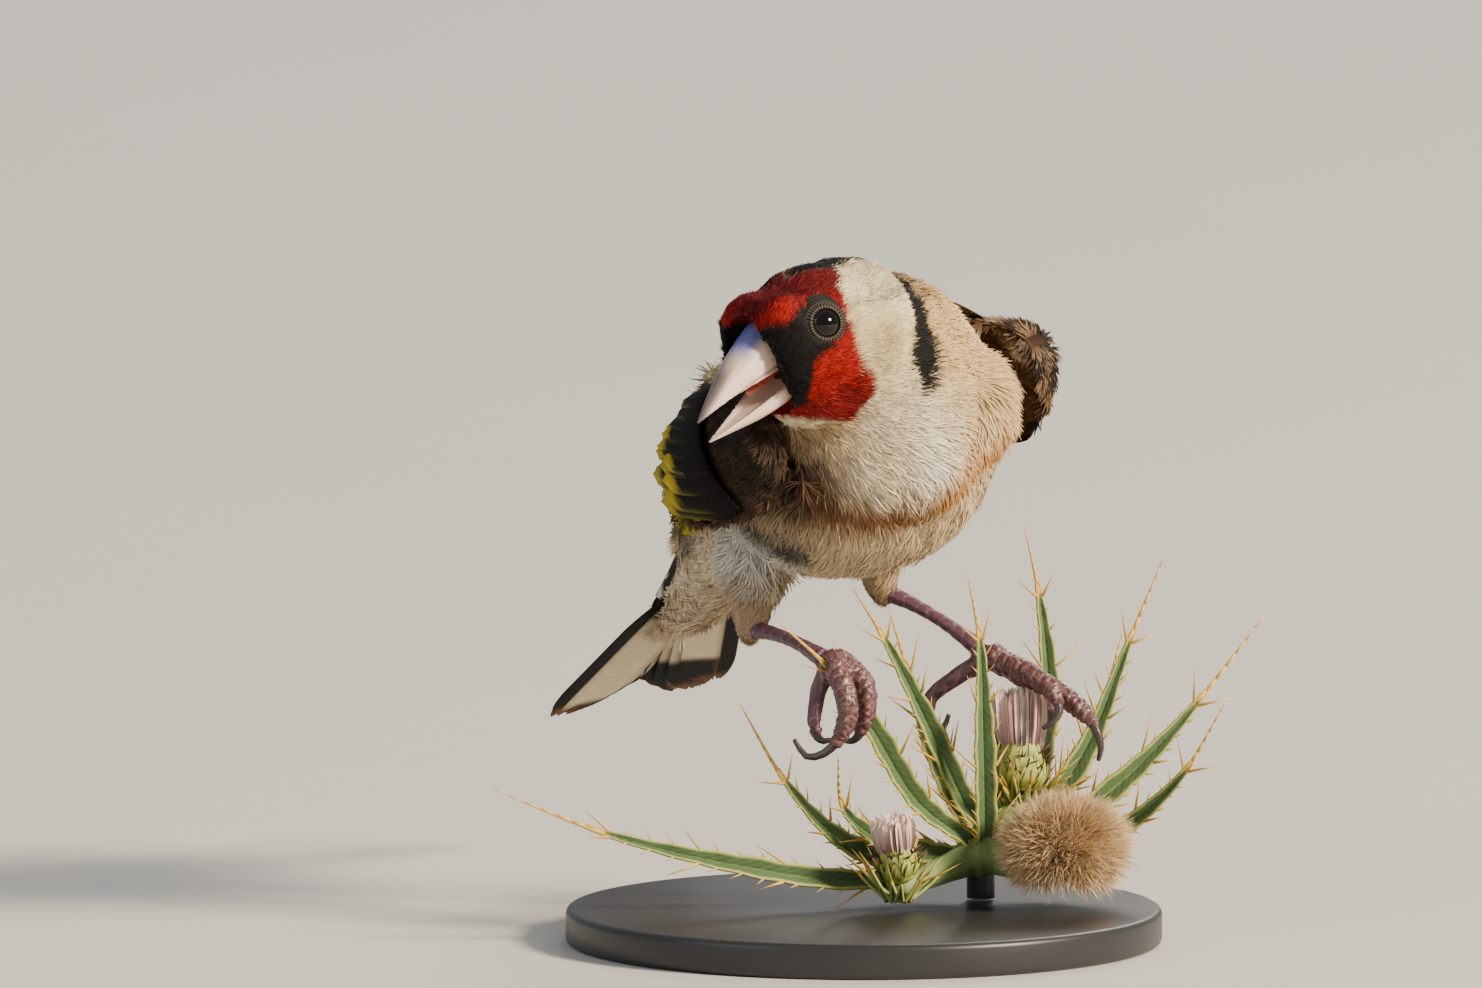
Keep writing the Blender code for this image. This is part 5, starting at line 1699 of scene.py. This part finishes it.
        # Painted shade: the feathers on the wing's inner side and their tips are dark brown and soot, partly
        # their own dark colour and partly shade.
        shaded_underside = blend(bark * 0.75, Tint.SOOT, 0.3 + 0.5 * speck)
        yellow = painted(count, Tint.YELLOW)
        yellow = layered(yellow, (Tint.MOSS, 0.25 + 0.7 * speck), (Tint.BLACK, 0.75 * streak))
        ground = blend(black, Tint.BARK, 0.12 * speck)
        tips = layered(
            ground,
            (Tint.BARK, 0.22),
            (Tint.SAND, self.flecked * edge * plain),
            (Tint.TAWNY, 0.5 * fore * plain),
            (Tint.SAND, high),
            (Tint.BARK, inner),
            (Tint.WHITE, pit),
            (yellow, bar),
        )
        tints = layered(
            ground,
            (mottled, self.mottled * edge),
            (mottled, 0.9 * fore),
            (Tint.FLANK, high),
            (shaded_underside, inner),
            (Tint.SILK, pit),
            (yellow, 0.75 * bar * ease(-x, 8.0, 12.0)),
        )
        tints *= rng.uniform(0.75, 1.25, (count, 1))
        lengths = rng.uniform(1.7, 2.5, count) * (1 + 0.7 * bar) * MM
        lifts = rng.uniform(0.15, 0.35, count) * (1 + 0.8 * bar * self.ragged)
        headings = laid_flat(turned(TRUNK, [(-1.0, 0.0, 0.0)]), normals)
        spots = np.stack([0.1 + 0.8 * np.clip((8.5 - x) / 24, 0, 1), 0.5 + 0.4 * facing], axis=1)
        locks = fans(rng, roots, normals, headings, lengths, 0.23, 6, 30.0, lifts, tints, tips, spots)
        stand_for(threads(f"wing_coverts_{self.name}", locks, DOWNY), "wing_plumage")

    def build_web(self, skin: Surface) -> Surface:
        """The web from the back to the wing's upper edge, which carries the shoulder feathers."""
        start = (9.0 - self.shoulder) / 50

        def place(s: Array, q: Array) -> Array:
            """Rules the web between back and wing."""
            along = self.shoulder - (self.shoulder + 16.0) * s
            guess = np.stack([along, np.full(len(s), 7.5 * self.side), np.full(len(s), 10.0)], axis=1)
            back = np.array([skin.tree.find_nearest(Vector(p))[0] for p in from_frame(TRUNK, guess)])
            rim = self.point(start + (0.44 - start) * s, np.full(len(s), 0.72), 0.3)
            w = (q[:, None] + 1) / 2
            rise = turned(TRUNK, [(0.0, 0.3 * self.side, 1.0)]) * 1.2 * MM * np.sin(math.pi * w)
            return back + (rim - back) * w + rise

        def tint(s: Array, q: Array) -> Array:
            """The brown of the back, paler in front."""
            return blend(painted(len(s), Tint.MANTLE) * 0.8, Tint.SAND, 0.7 * fall(s, 0.05, 0.3))

        sheets = Sheets(1)
        sheets.add(30, 14, place, tint)
        web = sheets.build(f"shoulder_{self.name}", SKIN)
        surface = Surface(web.data)
        stand_for(web, "body_plumage")
        return surface

    def build_scapulars(self, skin: Surface) -> None:
        """The shoulder feathers, on their web."""
        surface = self.build_web(skin)
        rng = np.random.default_rng(SEED + 20 + self.side)
        roots, normals = surface.scatter(6.0, rng)
        upward = turned(TRUNK, [(0.0, 0.4 * self.side, 1.0)])[0]
        normals = normals * np.sign(normals @ upward)[:, None]
        count = len(roots)
        headings = laid_flat(turned(TRUNK, [(-1.0, 0.25 * self.side, 0.0)]), normals)
        local = to_frame(TRUNK, roots)
        speck = ease(ripple(roots, 2.0 * MM, 1.0), -0.3, 0.4)
        fore = 0.65 * ease(local[:, 0], 1.0, 5.0)
        ground = blend(painted(count, Tint.MANTLE), Tint.BARK, speck) * rng.uniform(0.8, 1.25, (count, 1))
        tips = layered(ground, (Tint.TAWNY, 0.35 + 0.4 * (1 - speck)), (Tint.SAND, fore))
        tints = blend(ground, Tint.SAND, fore)
        spots = np.clip(0.5 + local[:, :2] / 60, 0.02, 0.98)
        lengths = rng.uniform(2.6, 3.8, count) * MM
        lifts = rng.uniform(0.1, 0.3, count)
        locks = fans(rng, roots, normals, headings, lengths, 0.2, 6, 22.0, lifts, tints, tips, spots)
        stand_for(threads(f"scapulars_{self.name}", locks, DOWNY), "body_plumage")


@dataclass
class Tail:
    """Twelve tail feathers, in two halves.

    Attributes:
        length, fork: how long the outermost feather is, and how much shorter the middle one is.
        spread: how far each half opens, in degrees.
        root, rise: how far apart the roots lie, and how high the uppermost feather is.
        count: how many feathers each half has.
        corner, panel_end: how much shorter the outermost feather is on each side, and how far along
            the feathers their white panels end there.
    """

    length: float = 49.0
    fork: float = 9.0
    spread: float = 11.5
    root: float = 3.2
    rise: float = 1.1
    count: int = 6
    corner: dict[int, float] = field(default_factory=lambda: {1: 11.0, -1: 4.5})
    panel_end: dict[int, float] = field(default_factory=lambda: {1: 0.7, -1: 0.86})

    def build(self) -> None:
        """Lays the feathers of each half, the outer ones underneath."""
        for name, side in SIDES.items():
            sheets = Sheets(3)
            for k in range(self.count):
                self.feather(sheets, side, k)
            piece = sheets.build(f"tail_feathers_{name}", VANED, 0.12 * MM)
            stand_for(piece, "tail_plumage", f"tail_{name}")

    def feather(self, sheets: Sheets, side: int, k: int) -> None:
        """Adds one tail feather.

        Args:
            sheets: what it is added to.
            side: 1 on the bird's left.
            k: 0 for the middle feather and 5 for the outermost.
        """
        share = (k + 0.5) / self.count
        angle = math.radians(self.spread) * share * 0.86
        length = self.length - self.fork * (1 - share) ** 1.5
        length -= self.corner[side] * max(0.0, (share - 0.5) / 0.5) ** 2
        rng = np.random.default_rng(SEED * 10 + k + 7 * side)
        fray = rng.uniform(-1, 1, 64)
        outer, inner = 3.3 - 0.22 * k, 3.6 + 0.24 * k

        def place(s: Array, q: Array) -> Array:
            """Runs the shaft from the root and widens the vane."""
            tip = ease(s, 0.9, 1.0)
            reach = length * s + tip * fray[(np.round(q * 7) + 13).astype(int)] * 0.9
            rounded = np.sqrt(np.clip(1 - (np.clip((s - 0.8) / 0.21, 0, 1)) ** 2, 0.06, 1))
            half = (0.3 + 0.7 * ease(s, 0.0, 0.4)) * rounded * np.where(q > 0, outer, inner)
            y = self.root * share * 0.8 + reach * math.sin(angle) + q * half
            z = self.rise - 0.17 * k - 1.6 * share**2 * s - 0.25 * q * q * (q < 0) + SHAFT_RISE * on_shaft(q)
            return from_frame(TAIL, np.stack([reach * math.cos(angle), -side * y, z], axis=1))

        def tint(s: Array, q: Array) -> Array:
            """Black, with white panels on the inner webs and worn tips."""
            end = self.panel_end[side] + 0.015 * k + 0.06 * q
            panel = ease(s, 0.16, 0.22) * fall(s, end, end + 0.06) * (q < 0.02)
            spot = ease(s, 0.9, 0.94) * fall(np.abs(q), 0.3, 0.7) * (k < 4)
            return layered(
                painted(len(s), Tint.BLACK),
                (Tint.SILK, panel * (0.35 + 0.12 * k)),
                (Tint.CHEEK, 0.6 * spot),
                (Tint.WORN, ease(s, 0.93, 0.99) * (0.25 + 0.5 * (k > 3))),
                (Tint.WORN, 0.35 * on_shaft(q)),
            )

        sheets.add(40, 14, place, tint)


# ---------------------------------------------------------------- thistle


# Each leaf lobe's line from tip to foot, in millimetres.
LEAVES: dict[str, tuple[Triple, ...]] = {
    "gripped": ((-9.8, -11.1, 37.9), (-3.9, -7.4, 32.0), (0.9, -3.2, 24.7), (6.0, 1.4, 16.0), (12, 4.2, 11)),
    "upright": ((-1.3, 0.2, 40.5), (2.4, 1.6, 34.4), (7.0, 4.2, 25.0), (11.4, 6.8, 15.2), (13.6, 6.8, 11.5)),
    "front": ((11.8, 2.4, 41.8), (13.2, 2.8, 34.0), (13.6, 2.6, 24.0), (13.8, 3.2, 14.0), (13.6, 5, 9.6)),
    "rear": ((18.6, 22.4, 45.1), (20.3, 21.2, 37.0), (21.2, 18.4, 26.0), (18.8, 12.0, 15.5), (14, 7, 11.0)),
    "right_tall": ((34.5, 12.6, 42.9), (30.2, 11.9, 32.5), (25.6, 11, 21), (20.0, 8.9, 13.2), (14, 6, 10)),
    "right_long": ((46.1, 17.8, 35.4), (38.0, 15.6, 25.2), (30.5, 14, 17.4), (22, 11.6, 11.4), (15, 8, 11)),
    "right_low": ((41.2, 2.9, 27.1), (36.5, 6.0, 18.6), (29.6, 9.2, 11.8), (21.0, 9.0, 8.0), (14, 6.4, 8.0)),
    "rear_left": ((3.0, 18.0, 36.0), (6.0, 16.0, 26.5), (9.2, 12.4, 17.4), (12.8, 8.4, 10.4)),
    "rear_right": ((30, 24, 33), (27.0, 20.5, 23), (22.0, 17.0, 14.6), (13.6, 9.4, 8.8)),
    "left_long": ((-42, -9.5, 18.6), (-29, -7.5, 13.2), (-15, -4.4, 9.4), (-2, 0.6, 6.9), (11, 5.6, 7.4)),
    "left_low": ((-14.1, -1.2, 27.3), (-8.8, 1.0, 18.0), (-2.6, 4.6, 11.0), (5.0, 7.2, 7.8), (13, 6.8, 7.8)),
    "left_inner": ((-3.0, -5.7, 22.1), (-2.4, -1.5, 15.6), (1.5, 2.4, 11.5), (7.0, 4.4, 9.6), (13, 5.4, 9)),
}


def add_cone(bm: BMesh, middle: Array, way: Array, length: float, radii: Pair, segments: int) -> None:
    """A closed cone round its middle.

    Args:
        bm: what it is added to.
        middle: the middle of its length.
        way: the way from its first end to its second, one long.
        length: its length, in metres.
        radii: the radii of its two ends, in metres.
        segments: its faces round about.
    """
    place = Matrix.Translation(Vector(middle)) @ Vector(way).to_track_quat("Z", "Y").to_matrix().to_4x4()
    first, second = radii
    bmesh.ops.create_cone(
        bm, cap_ends=True, segments=segments, radius1=first, radius2=second, depth=length, matrix=place
    )


def add_spine(bm: BMesh, root: Array, way: Array, length: float, radius: float) -> None:
    """A long thin cone from its root."""
    add_cone(bm, root + way * length / 2, way, length, (radius, radius * 0.1), 6)


def box_of(node: str) -> tuple[Array, Array]:
    """The low and the high corner of a node's box."""
    low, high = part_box(node)
    return np.array(low), np.array(high)


def level_way(angle: float) -> Array:
    """The level direction at an angle round +Z."""
    return np.array([math.cos(angle), math.sin(angle), 0.0])


class Blade:
    """One stiff folded leaf blade on its line, with its spines.

    Attributes:
        spine_share: how much of the line, from its tip, is the end spine.
        half_width: half the blade's width, in millimetres.
        teeth, veins: how many teeth each edge has, and how many veins each side.
        midrib, rim: where the midrib ends and the rim begins, from the middle (0) to the edge (1).
        tip_cones: how many cones the end spine has.
        facing: the way that the blades' upper sides face.
    """

    spine_share: float = 0.2
    half_width: float = 1.12
    teeth: int = 9
    veins: int = 30
    midrib: float = 0.12
    rim: float = 0.8
    tip_cones: int = 7
    facing: Triple = (0.25, -0.9, 0.35)

    def __init__(self, line: Sequence[Sequence[float]], rng: Chance) -> None:
        """Takes the line from tip to foot, in millimetres, and a width by chance."""
        self.line = np.array(line) * MM
        self.rng = rng
        self.width = self.half_width * rng.uniform(0.88, 1.1)

    def frame_at(self, t: Array) -> tuple[Array, Array, Array, Array]:
        """The middle, the way on, the side and the upper side at t along the line."""
        here = along_line(self.line, t)
        before, after = np.maximum(t - 0.02, 0), np.minimum(t + 0.02, 1)
        ahead = unit(along_line(self.line, after) - along_line(self.line, before))
        side = unit(np.cross(np.array(self.facing), ahead))
        return here, ahead, side, np.cross(ahead, side)

    def half(self, t: Array) -> Array:
        """Half the blade's width at t, in metres: a straight taper with low teeth."""
        blade = np.clip((t - self.spine_share) / (1 - self.spine_share), 0, 1)
        taper = np.minimum(blade / 0.42, 1.0) * (1 - 0.35 * ease(blade, 0.6, 1.0))
        tooth = np.abs(2 * ((blade * self.teeth) % 1.0) - 1)
        return (0.24 + self.width * taper * (0.9 + 0.14 * tooth)) * MM

    def vein_wave(self, s: Array, q: Array) -> Array:
        """The slanting cross veins, from -1 to 1."""
        return np.sin((s * self.veins - np.abs(q) * 2.0) * 2 * math.pi)

    def place(self, s: Array, q: Array) -> Array:
        """Folds the blade along its midrib, with a thick rim and cross veins."""
        t = self.spine_share + (1 - self.spine_share) * s
        here, _, side, upper = self.frame_at(t)
        wide = self.half(t)
        away = np.abs(q)
        wave = 0.07 * np.sin(s * self.teeth * 2 * math.pi + 1.5 * np.sign(q)) * away**2
        veins = 0.05 * self.vein_wave(s, q) * (away > self.midrib) * (away < self.rim)
        rise = 0.62 * wide * away + (wave + veins - 0.3 * (away < self.midrib)) * MM
        return here + side * (q * wide)[:, None] + upper * rise[:, None]

    def tint(self, s: Array, q: Array) -> Array:
        """Grey green, with a pale midrib and a straw margin."""
        away = np.abs(q)
        return layered(
            painted(len(s), Tint.LEAF),
            (Tint.LEAF_VEIN, 0.11 * (1 + self.vein_wave(s, q))),
            (Tint.LEAF_EDGE, 0.9 * ease(away, 0.76, 0.9)),
            (Tint.LEAF_VEIN, 0.9 * fall(away, 0.06, 0.2)),
            (Tint.SPINE, fall(s, 0.0, 0.08)),
        )

    def add_end_spine(self, spines: BMesh) -> None:
        """The long bent spine at the tip, as a run of cones."""
        end = self.spine_share + 0.04
        shares = np.linspace(0, 1, self.tip_cones + 1)
        points = along_line(self.line, shares * end)
        radii = (0.05 + 0.24 * shares) * MM
        for k in range(self.tip_cones):
            step = points[k + 1] - points[k]
            length = float(np.linalg.norm(step))
            middle = (points[k] + points[k + 1]) / 2
            add_cone(spines, middle, step / length, length * 1.02, (radii[k], radii[k + 1]), 8)

    def add_edge_spines(self, spines: BMesh) -> None:
        """Two small spines to a tooth on each edge, and a long one on every fourth place."""
        rng, start = self.rng, self.spine_share
        for k in range(1, self.teeth * 2):
            t = np.array([start + (1 - start) * (k + rng.uniform(-0.2, 0.2)) / (self.teeth * 2)])
            here, ahead, side, upper = self.frame_at(t)
            wide = self.half(t)[:, None]
            long = k % 4 == 1 and t[0] < 0.85
            for edge in (-1, 1):
                root = here + side * edge * wide * 0.97 + upper * 0.6 * wide
                lean = -ahead * rng.uniform(0.7, 1.5) + side * edge * rng.uniform(0.5, 1.0)
                lean = lean + upper * rng.normal(0.1, 0.3)
                length = rng.uniform(2.6, 4.8) if long else rng.uniform(0.7, 1.9)
                add_spine(spines, root[0], unit(lean)[0], length * MM, (0.2 if long else 0.12) * MM)


class Thistle:
    """The cut top of a thistle: leaves with their spines, stem, buds and seed head."""

    small_leaves: int = 54
    bract_spines: int = 34
    florets: int = 300
    down_threads: int = 15000
    stem_middle: Pair = (13.4, 5.8)
    bud_ways: dict[str, Triple] = {"main": (-0.2, 1.5, 6.6), "side": (-0.9, -1.0, 6.6)}

    def build(self) -> None:
        """Makes every piece of the perch."""
        blades, spines = Sheets(7), bmesh.new()
        rng = np.random.default_rng(SEED + 40)
        for line in LEAVES.values():
            blade = Blade(line, rng)
            blades.add(72, 14, blade.place, blade.tint)
            blade.add_end_spine(spines)
            blade.add_edge_spines(spines)
        for k in range(self.small_leaves):
            self.add_small_leaf(blades, spines, k, rng)
        leaves = blades.build("thistle_leaves", LEAFY, 0.28 * MM)
        stand_for(leaves, "leaf", *(f"perch_leaf_{node}" for node in LEAVES))
        piece = from_bmesh("thistle_spines", spines, THORN)
        paint_plain(piece.data, Tint.SPINE)
        stand_for(piece, "leaf")
        self.build_stem()
        for name in self.bud_ways:
            self.build_bud(name)
        self.build_seed_head()

    def add_small_leaf(self, blades: Sheets, spines: BMesh, k: int, rng: Chance) -> None:
        """One of the short spiny leaves round the foot of the buds."""
        up = np.array([0.0, 0.0, 1.0])
        out = level_way(2 * math.pi * (k * GOLDEN_TURN + rng.uniform(-0.03, 0.03)))
        low, high = box_of("perch_bud_main" if k % 3 else "perch_bud_side")
        centre = (low + high) / 2
        radius = 0.5 * (high[0] - low[0]) * rng.uniform(0.75, 1.0)
        root = np.array([centre[0], centre[1], low[2] - rng.uniform(0.0, 1.8) * MM]) + out * radius * 0.7
        way = unit(out + up * rng.uniform(0.4, 1.5))
        length = rng.uniform(2.6, 4.6) * MM
        side = unit(np.cross(way, out - up))
        upper = np.cross(side, way)
        width = rng.uniform(0.45, 0.7) * MM

        def place(s: Array, q: Array) -> Array:
            """A narrow folded blade that curves up."""
            half = width * (1 - s) ** 0.8
            middle = root + way * (s * length)[:, None] + up * (s * s * length * 0.15)[:, None]
            return middle + side * (q * half)[:, None] + upper * (0.5 * half * np.abs(q))[:, None]

        def tint(s: Array, q: Array) -> Array:
            """Green, with a straw margin and tip."""
            margin = 0.9 * ease(np.abs(q), 0.4, 0.9)
            green = painted(len(s), Tint.LEAF) * 1.5
            return layered(green, (Tint.LEAF_EDGE, margin), (Tint.SPINE, ease(s, 0.7, 1.0)))

        blades.add(10, 6, place, tint)
        tip = root + way * length + up * 0.15 * length
        add_spine(spines, tip - way * 0.5 * MM, way, rng.uniform(2.0, 3.6) * MM, 0.15 * MM)

    def build_stem(self) -> None:
        """The ribbed stem."""
        mesh = fused(["perch_stem"], 0.0, 0.35 * MM, 2)
        points, normals = vertices_of(mesh), normals_of(mesh)
        x, y = (points[:, :2] - np.array(self.stem_middle) * MM).T
        ribs = np.cos(11 * np.arctan2(y, x))
        move_vertices(mesh, points + normals * (0.14 * MM * ribs)[:, None])
        paint(mesh, blend(painted(len(points), Tint.STEM), Tint.LEAF_VEIN, 0.5 * ease(ribs, 0.2, 1.0)))
        stand_for(put_in_scene("thistle_stem", mesh, STALK), "stem", "perch_stem")

    def build_bud(self, name: str) -> None:
        """One flower head: a scaly cup with its spines, and a brush of florets."""
        mesh = fused([f"perch_bud_{name}"], 0.0, 0.3 * MM, 3)
        paint_plain(mesh, Tint.BRACT)
        stand_for(put_in_scene(f"thistle_cup_{name}", mesh, STALK), "bracts", f"perch_bud_{name}")
        cup, axis = Surface(mesh), unit(np.array(self.bud_ways[name]))
        rng = np.random.default_rng(SEED + 60)
        self.build_bracts(name, cup, axis, rng)
        self.build_bract_spines(name, cup, axis, rng)
        self.build_florets(name, axis, rng)

    def build_bracts(self, name: str, cup: Surface, axis: Array, rng: Chance) -> None:
        """The overlapping scales of one cup."""
        roots, normals = cup.scatter(2.6, rng)
        count = len(roots)
        scales = Locks(
            roots=roots,
            normals=normals,
            headings=laid_flat(axis, normals),
            lengths=rng.uniform(1.6, 2.4, count) * MM,
            widths=rng.uniform(0.8, 1.1, count) * MM,
            lifts=rng.uniform(0.15, 0.4, count),
            bends=np.full(count, 6 * MM),
            twists=rng.normal(0, 0.1, count),
            tints=painted(count, Tint.BRACT) * rng.uniform(0.7, 1.3, (count, 1)),
            tip_tints=painted(count, Tint.BRACT_EDGE),
            spots=0.5 + 0.4 * normals[:, :2],
            tip_share=0.8,
        )
        stand_for(threads(f"thistle_bracts_{name}", scales, STALK), "bracts")

    def build_bract_spines(self, name: str, cup: Surface, axis: Array, rng: Chance) -> None:
        """The dark spines of one cup."""
        low, high = box_of(f"perch_bud_{name}")
        centre, size = (low + high) / 2, high - low
        thorns = bmesh.new()
        for k in range(self.bract_spines):
            out = level_way(2 * math.pi * k * GOLDEN_TURN)
            inside = np.array([centre[0], centre[1], low[2] + size[2] * (0.6 + 0.15 * (k % 3))])
            root = cup.tree.find_nearest(Vector(inside + out * size[0] * 0.6))[0]
            way = unit(out + axis * rng.uniform(0.2, 1.1))
            add_spine(thorns, np.array(root), way, rng.uniform(1.2, 2.4) * MM, 0.13 * MM)
        piece = from_bmesh(f"thistle_bract_spines_{name}", thorns, THORN)
        paint_plain(piece.data, Tint.PURPLE)
        stand_for(piece, "bracts")

    def build_florets(self, name: str, axis: Array, rng: Chance) -> None:
        """The brush of florets that opens out of one cup."""
        low, high = box_of(f"perch_bud_{name}")
        top = box_of(f"perch_florets_{name}")[1]
        count = self.florets
        spin, out = rng.uniform(0, 2 * math.pi, count), np.sqrt(rng.random(count))
        across = unit(np.cross(axis, np.array([1.0, 0.0, 0.0])))
        ring = np.cos(spin)[:, None] * across + np.sin(spin)[:, None] * np.cross(axis, across)
        base = (low + high) / 2 + axis * 0.2604 * np.linalg.norm(high - low)
        florets = Locks(
            roots=base + ring * (out * np.max(high - low) * 2.7 / 6.6)[:, None],
            normals=ring,
            headings=unit(axis + ring * (0.2 * out)[:, None]),
            lengths=(top - base) @ axis * rng.uniform(0.8, 1.0, count),
            widths=rng.uniform(0.45, 0.7, count) * MM,
            lifts=rng.uniform(-0.05, 0.12, count),
            bends=np.full(count, 30 * MM),
            twists=rng.normal(0, 1.0, count),
            tints=painted(count, Tint.FLORET) * rng.uniform(0.75, 1.15, (count, 1)),
            tip_tints=painted(count, Tint.FLORET_TIP),
            spots=0.5 + 0.4 * np.stack([np.cos(spin) * out, np.sin(spin) * out], axis=1),
            tip_share=0.8,
            point=0.5,
        )
        stand_for(threads(f"thistle_florets_{name}", florets, TUFTED), "florets", f"perch_florets_{name}")

    def build_seed_head(self) -> None:
        """A ball of fine drifting down over a small core."""
        low, high = box_of("perch_seedhead")
        centre, radii = (low + high) / 2, (high - low) / 2
        bm = bmesh.new()
        core = Matrix.Translation(Vector(centre)) @ Matrix.Diagonal((*(Vector(radii) * 0.6), 1.0))
        bmesh.ops.create_uvsphere(bm, u_segments=24, v_segments=16, radius=1.0, matrix=core)
        piece = from_bmesh("thistle_seed_core", bm, STALK)
        paint_plain(piece.data, Tint.DOWN_TIP, 0.75)
        stand_for(piece, "seed_down")
        rng = np.random.default_rng(SEED + 80)
        away = unit(rng.normal(0, 1, (self.down_threads, 3)))
        away = away[(away[:, 2] > -0.75)]
        count = len(away)
        drift = np.stack([ripple(away * radii, 2.2 * MM, phase) for phase in (1.0, 4.0, 7.0)], axis=1)
        lean = unit(away + 1.4 * drift + rng.normal(0, 0.4, (count, 3)) + np.array([[0, 0, 0.1]]))
        locks = Locks(
            roots=centre + away * radii * 0.57,
            normals=unit(np.cross(away, np.array([[0.3, 0.2, 1.0]]))),
            headings=lean,
            lengths=0.58 * np.linalg.norm(away * radii, axis=1) * rng.uniform(0.7, 1.1, count),
            widths=rng.uniform(0.045, 0.085, count) * MM,
            lifts=rng.normal(0, 0.25, count),
            bends=np.full(count, 14 * MM),
            twists=rng.normal(0, 1.0, count),
            tints=painted(count, Tint.DOWN) * rng.uniform(0.7, 1.2, (count, 1)),
            tip_tints=painted(count, Tint.DOWN_TIP),
            spots=0.5 + 0.4 * away[:, :2],
            tip_share=0.8,
        )
        stand_for(threads("thistle_seed_down", locks, TUFTED), "seed_down", "perch_seedhead")


# ---------------------------------------------------------------- stand and studio


class Stand:
    """The round base and its rod."""

    segments: dict[str, int] = {"stand_base": 160, "stand_rod": 48}
    bevels: dict[str, float] = {"stand_base": 0.7 * MM}
    bevel_steps: int = 4
    sharp: float = 40.0

    def build(self) -> None:
        """Turns both finely in the place of their nodes."""
        for node, segments in self.segments.items():
            low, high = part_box(node)
            radius = (high.x - low.x) / 2
            bm = bmesh.new()
            add_cone(bm, (low + high) / 2, Vector((0, 0, 1)), high.z - low.z, (radius, radius), segments)
            if node in self.bevels:
                rims = [e for e in bm.edges if abs(e.verts[0].co.z - e.verts[1].co.z) < 0.001 * MM]
                offset, steps = self.bevels[node], self.bevel_steps
                bmesh.ops.bevel(
                    bm, geom=rims, offset=offset, segments=steps, profile=0.5, affect="EDGES", material=-1
                )
            piece = from_bmesh(f"{node}_turned", bm, STAND)
            piece.data.set_sharp_from_angle(angle=math.radians(self.sharp))
            stand_for(piece, "stand", node)


@dataclass
class Studio:
    """Floor, lights and camera.

    Attributes:
        aim: what the camera and the lights look at, in millimetres.
        dip: how far the view slopes down, in degrees.
        distance: from the camera to what it looks at, in metres.
        lens: the focal length, in millimetres.
    """

    aim: Triple = (-14.0, -0.637, 51.35)
    dip: float = 6.0
    distance: float = 2.0
    lens: float = 427.5
    sky: tuple[float, float, float, float] = (0.9, 0.94, 1.0, 1.0)
    sky_strength: float = 0.38

    def build(self) -> None:
        """Sets the plain pale studio."""
        bm = bmesh.new()
        bmesh.ops.create_grid(bm, x_segments=1, y_segments=1, size=40.0)
        from_bmesh("floor", bm, FLOOR)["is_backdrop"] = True
        world = bpy.data.worlds.new("studio")
        world.use_nodes = True
        background = world.node_tree.nodes["Background"].inputs
        background["Color"].default_value = self.sky
        background["Strength"].default_value = self.sky_strength
        bpy.context.scene.world = world
        self.add_light("key", (2.3, -1.3, 1.5), 0.6, 220.0, (1.0, 0.86, 0.66))
        self.add_light("fill", (-2.2, -1.6, 1.2), 1.6, 14.0, (0.92, 0.96, 1.0))
        self.add_light("back", (0.8, 2.6, 1.9), 1.2, 50.0, (1.0, 0.95, 0.86))
        self.add_camera()

    def add_light(self, name: str, spot: Triple, size: float, power: float, colour: Triple) -> None:
        """One soft light that faces the bird."""
        light = bpy.data.lights.new(name, "AREA")
        light.size, light.energy, light.color = size, power, colour
        made = bpy.data.objects.new(name, light)
        made.location = spot
        aim = Vector(self.aim) * MM - Vector(spot)
        made.rotation_euler = aim.to_track_quat("-Z", "Y").to_euler()
        bpy.context.scene.collection.objects.link(made)

    def add_camera(self) -> None:
        """The long lens, a little above the level."""
        camera = bpy.data.cameras.new("camera")
        camera.lens, camera.sensor_width = self.lens, 36.0
        camera.clip_start, camera.clip_end = 0.1, 20.0
        made = bpy.data.objects.new("camera", camera)
        dip = math.radians(self.dip)
        made.location = Vector(self.aim) * MM - Vector((0, math.cos(dip), -math.sin(dip))) * self.distance
        made.rotation_euler = (math.pi / 2 - dip, 0, 0)
        bpy.context.scene.collection.objects.link(made)
        bpy.context.scene.camera = made


def save_sizes() -> None:
    """Measures the box of the solids and that of the visual model."""
    boxes = {"cad": CAD_BOX, "visual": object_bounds()}
    plain = {name: [list(map(float, corner)) for corner in box] for name, box in boxes.items()}


def main() -> None:
    """Builds the bird, its perch, its stand and the studio."""
    logging.basicConfig(level=logging.INFO, format="%(message)s")
    skin = Flesh().build()
    wings = [
        Wing("left", 1, 7.2, 2.2, 3.8, ragged=0.3, shoulder=8.0, coverts=10, mottled=0.9, flecked=0.55),
        Wing("right", -1, 0.0, 0.0, 0.0, ragged=1.0, shoulder=-4.0, coverts=24, mottled=0.3, flecked=0.165),
    ]
    cores = [wing.build_core() for wing in wings]
    for wing, core in zip(wings, cores):
        wing.build()
        wing.build_coverts(core)
        wing.build_scapulars(skin)
    Tail().build()
    Coat(skin, cores).build()
    Eyes().build()
    Bill().build()
    Legs().build()
    Thistle().build()
    Stand().build()
    Studio().build()
    save_sizes()


if __name__ == "__main__":
    main()
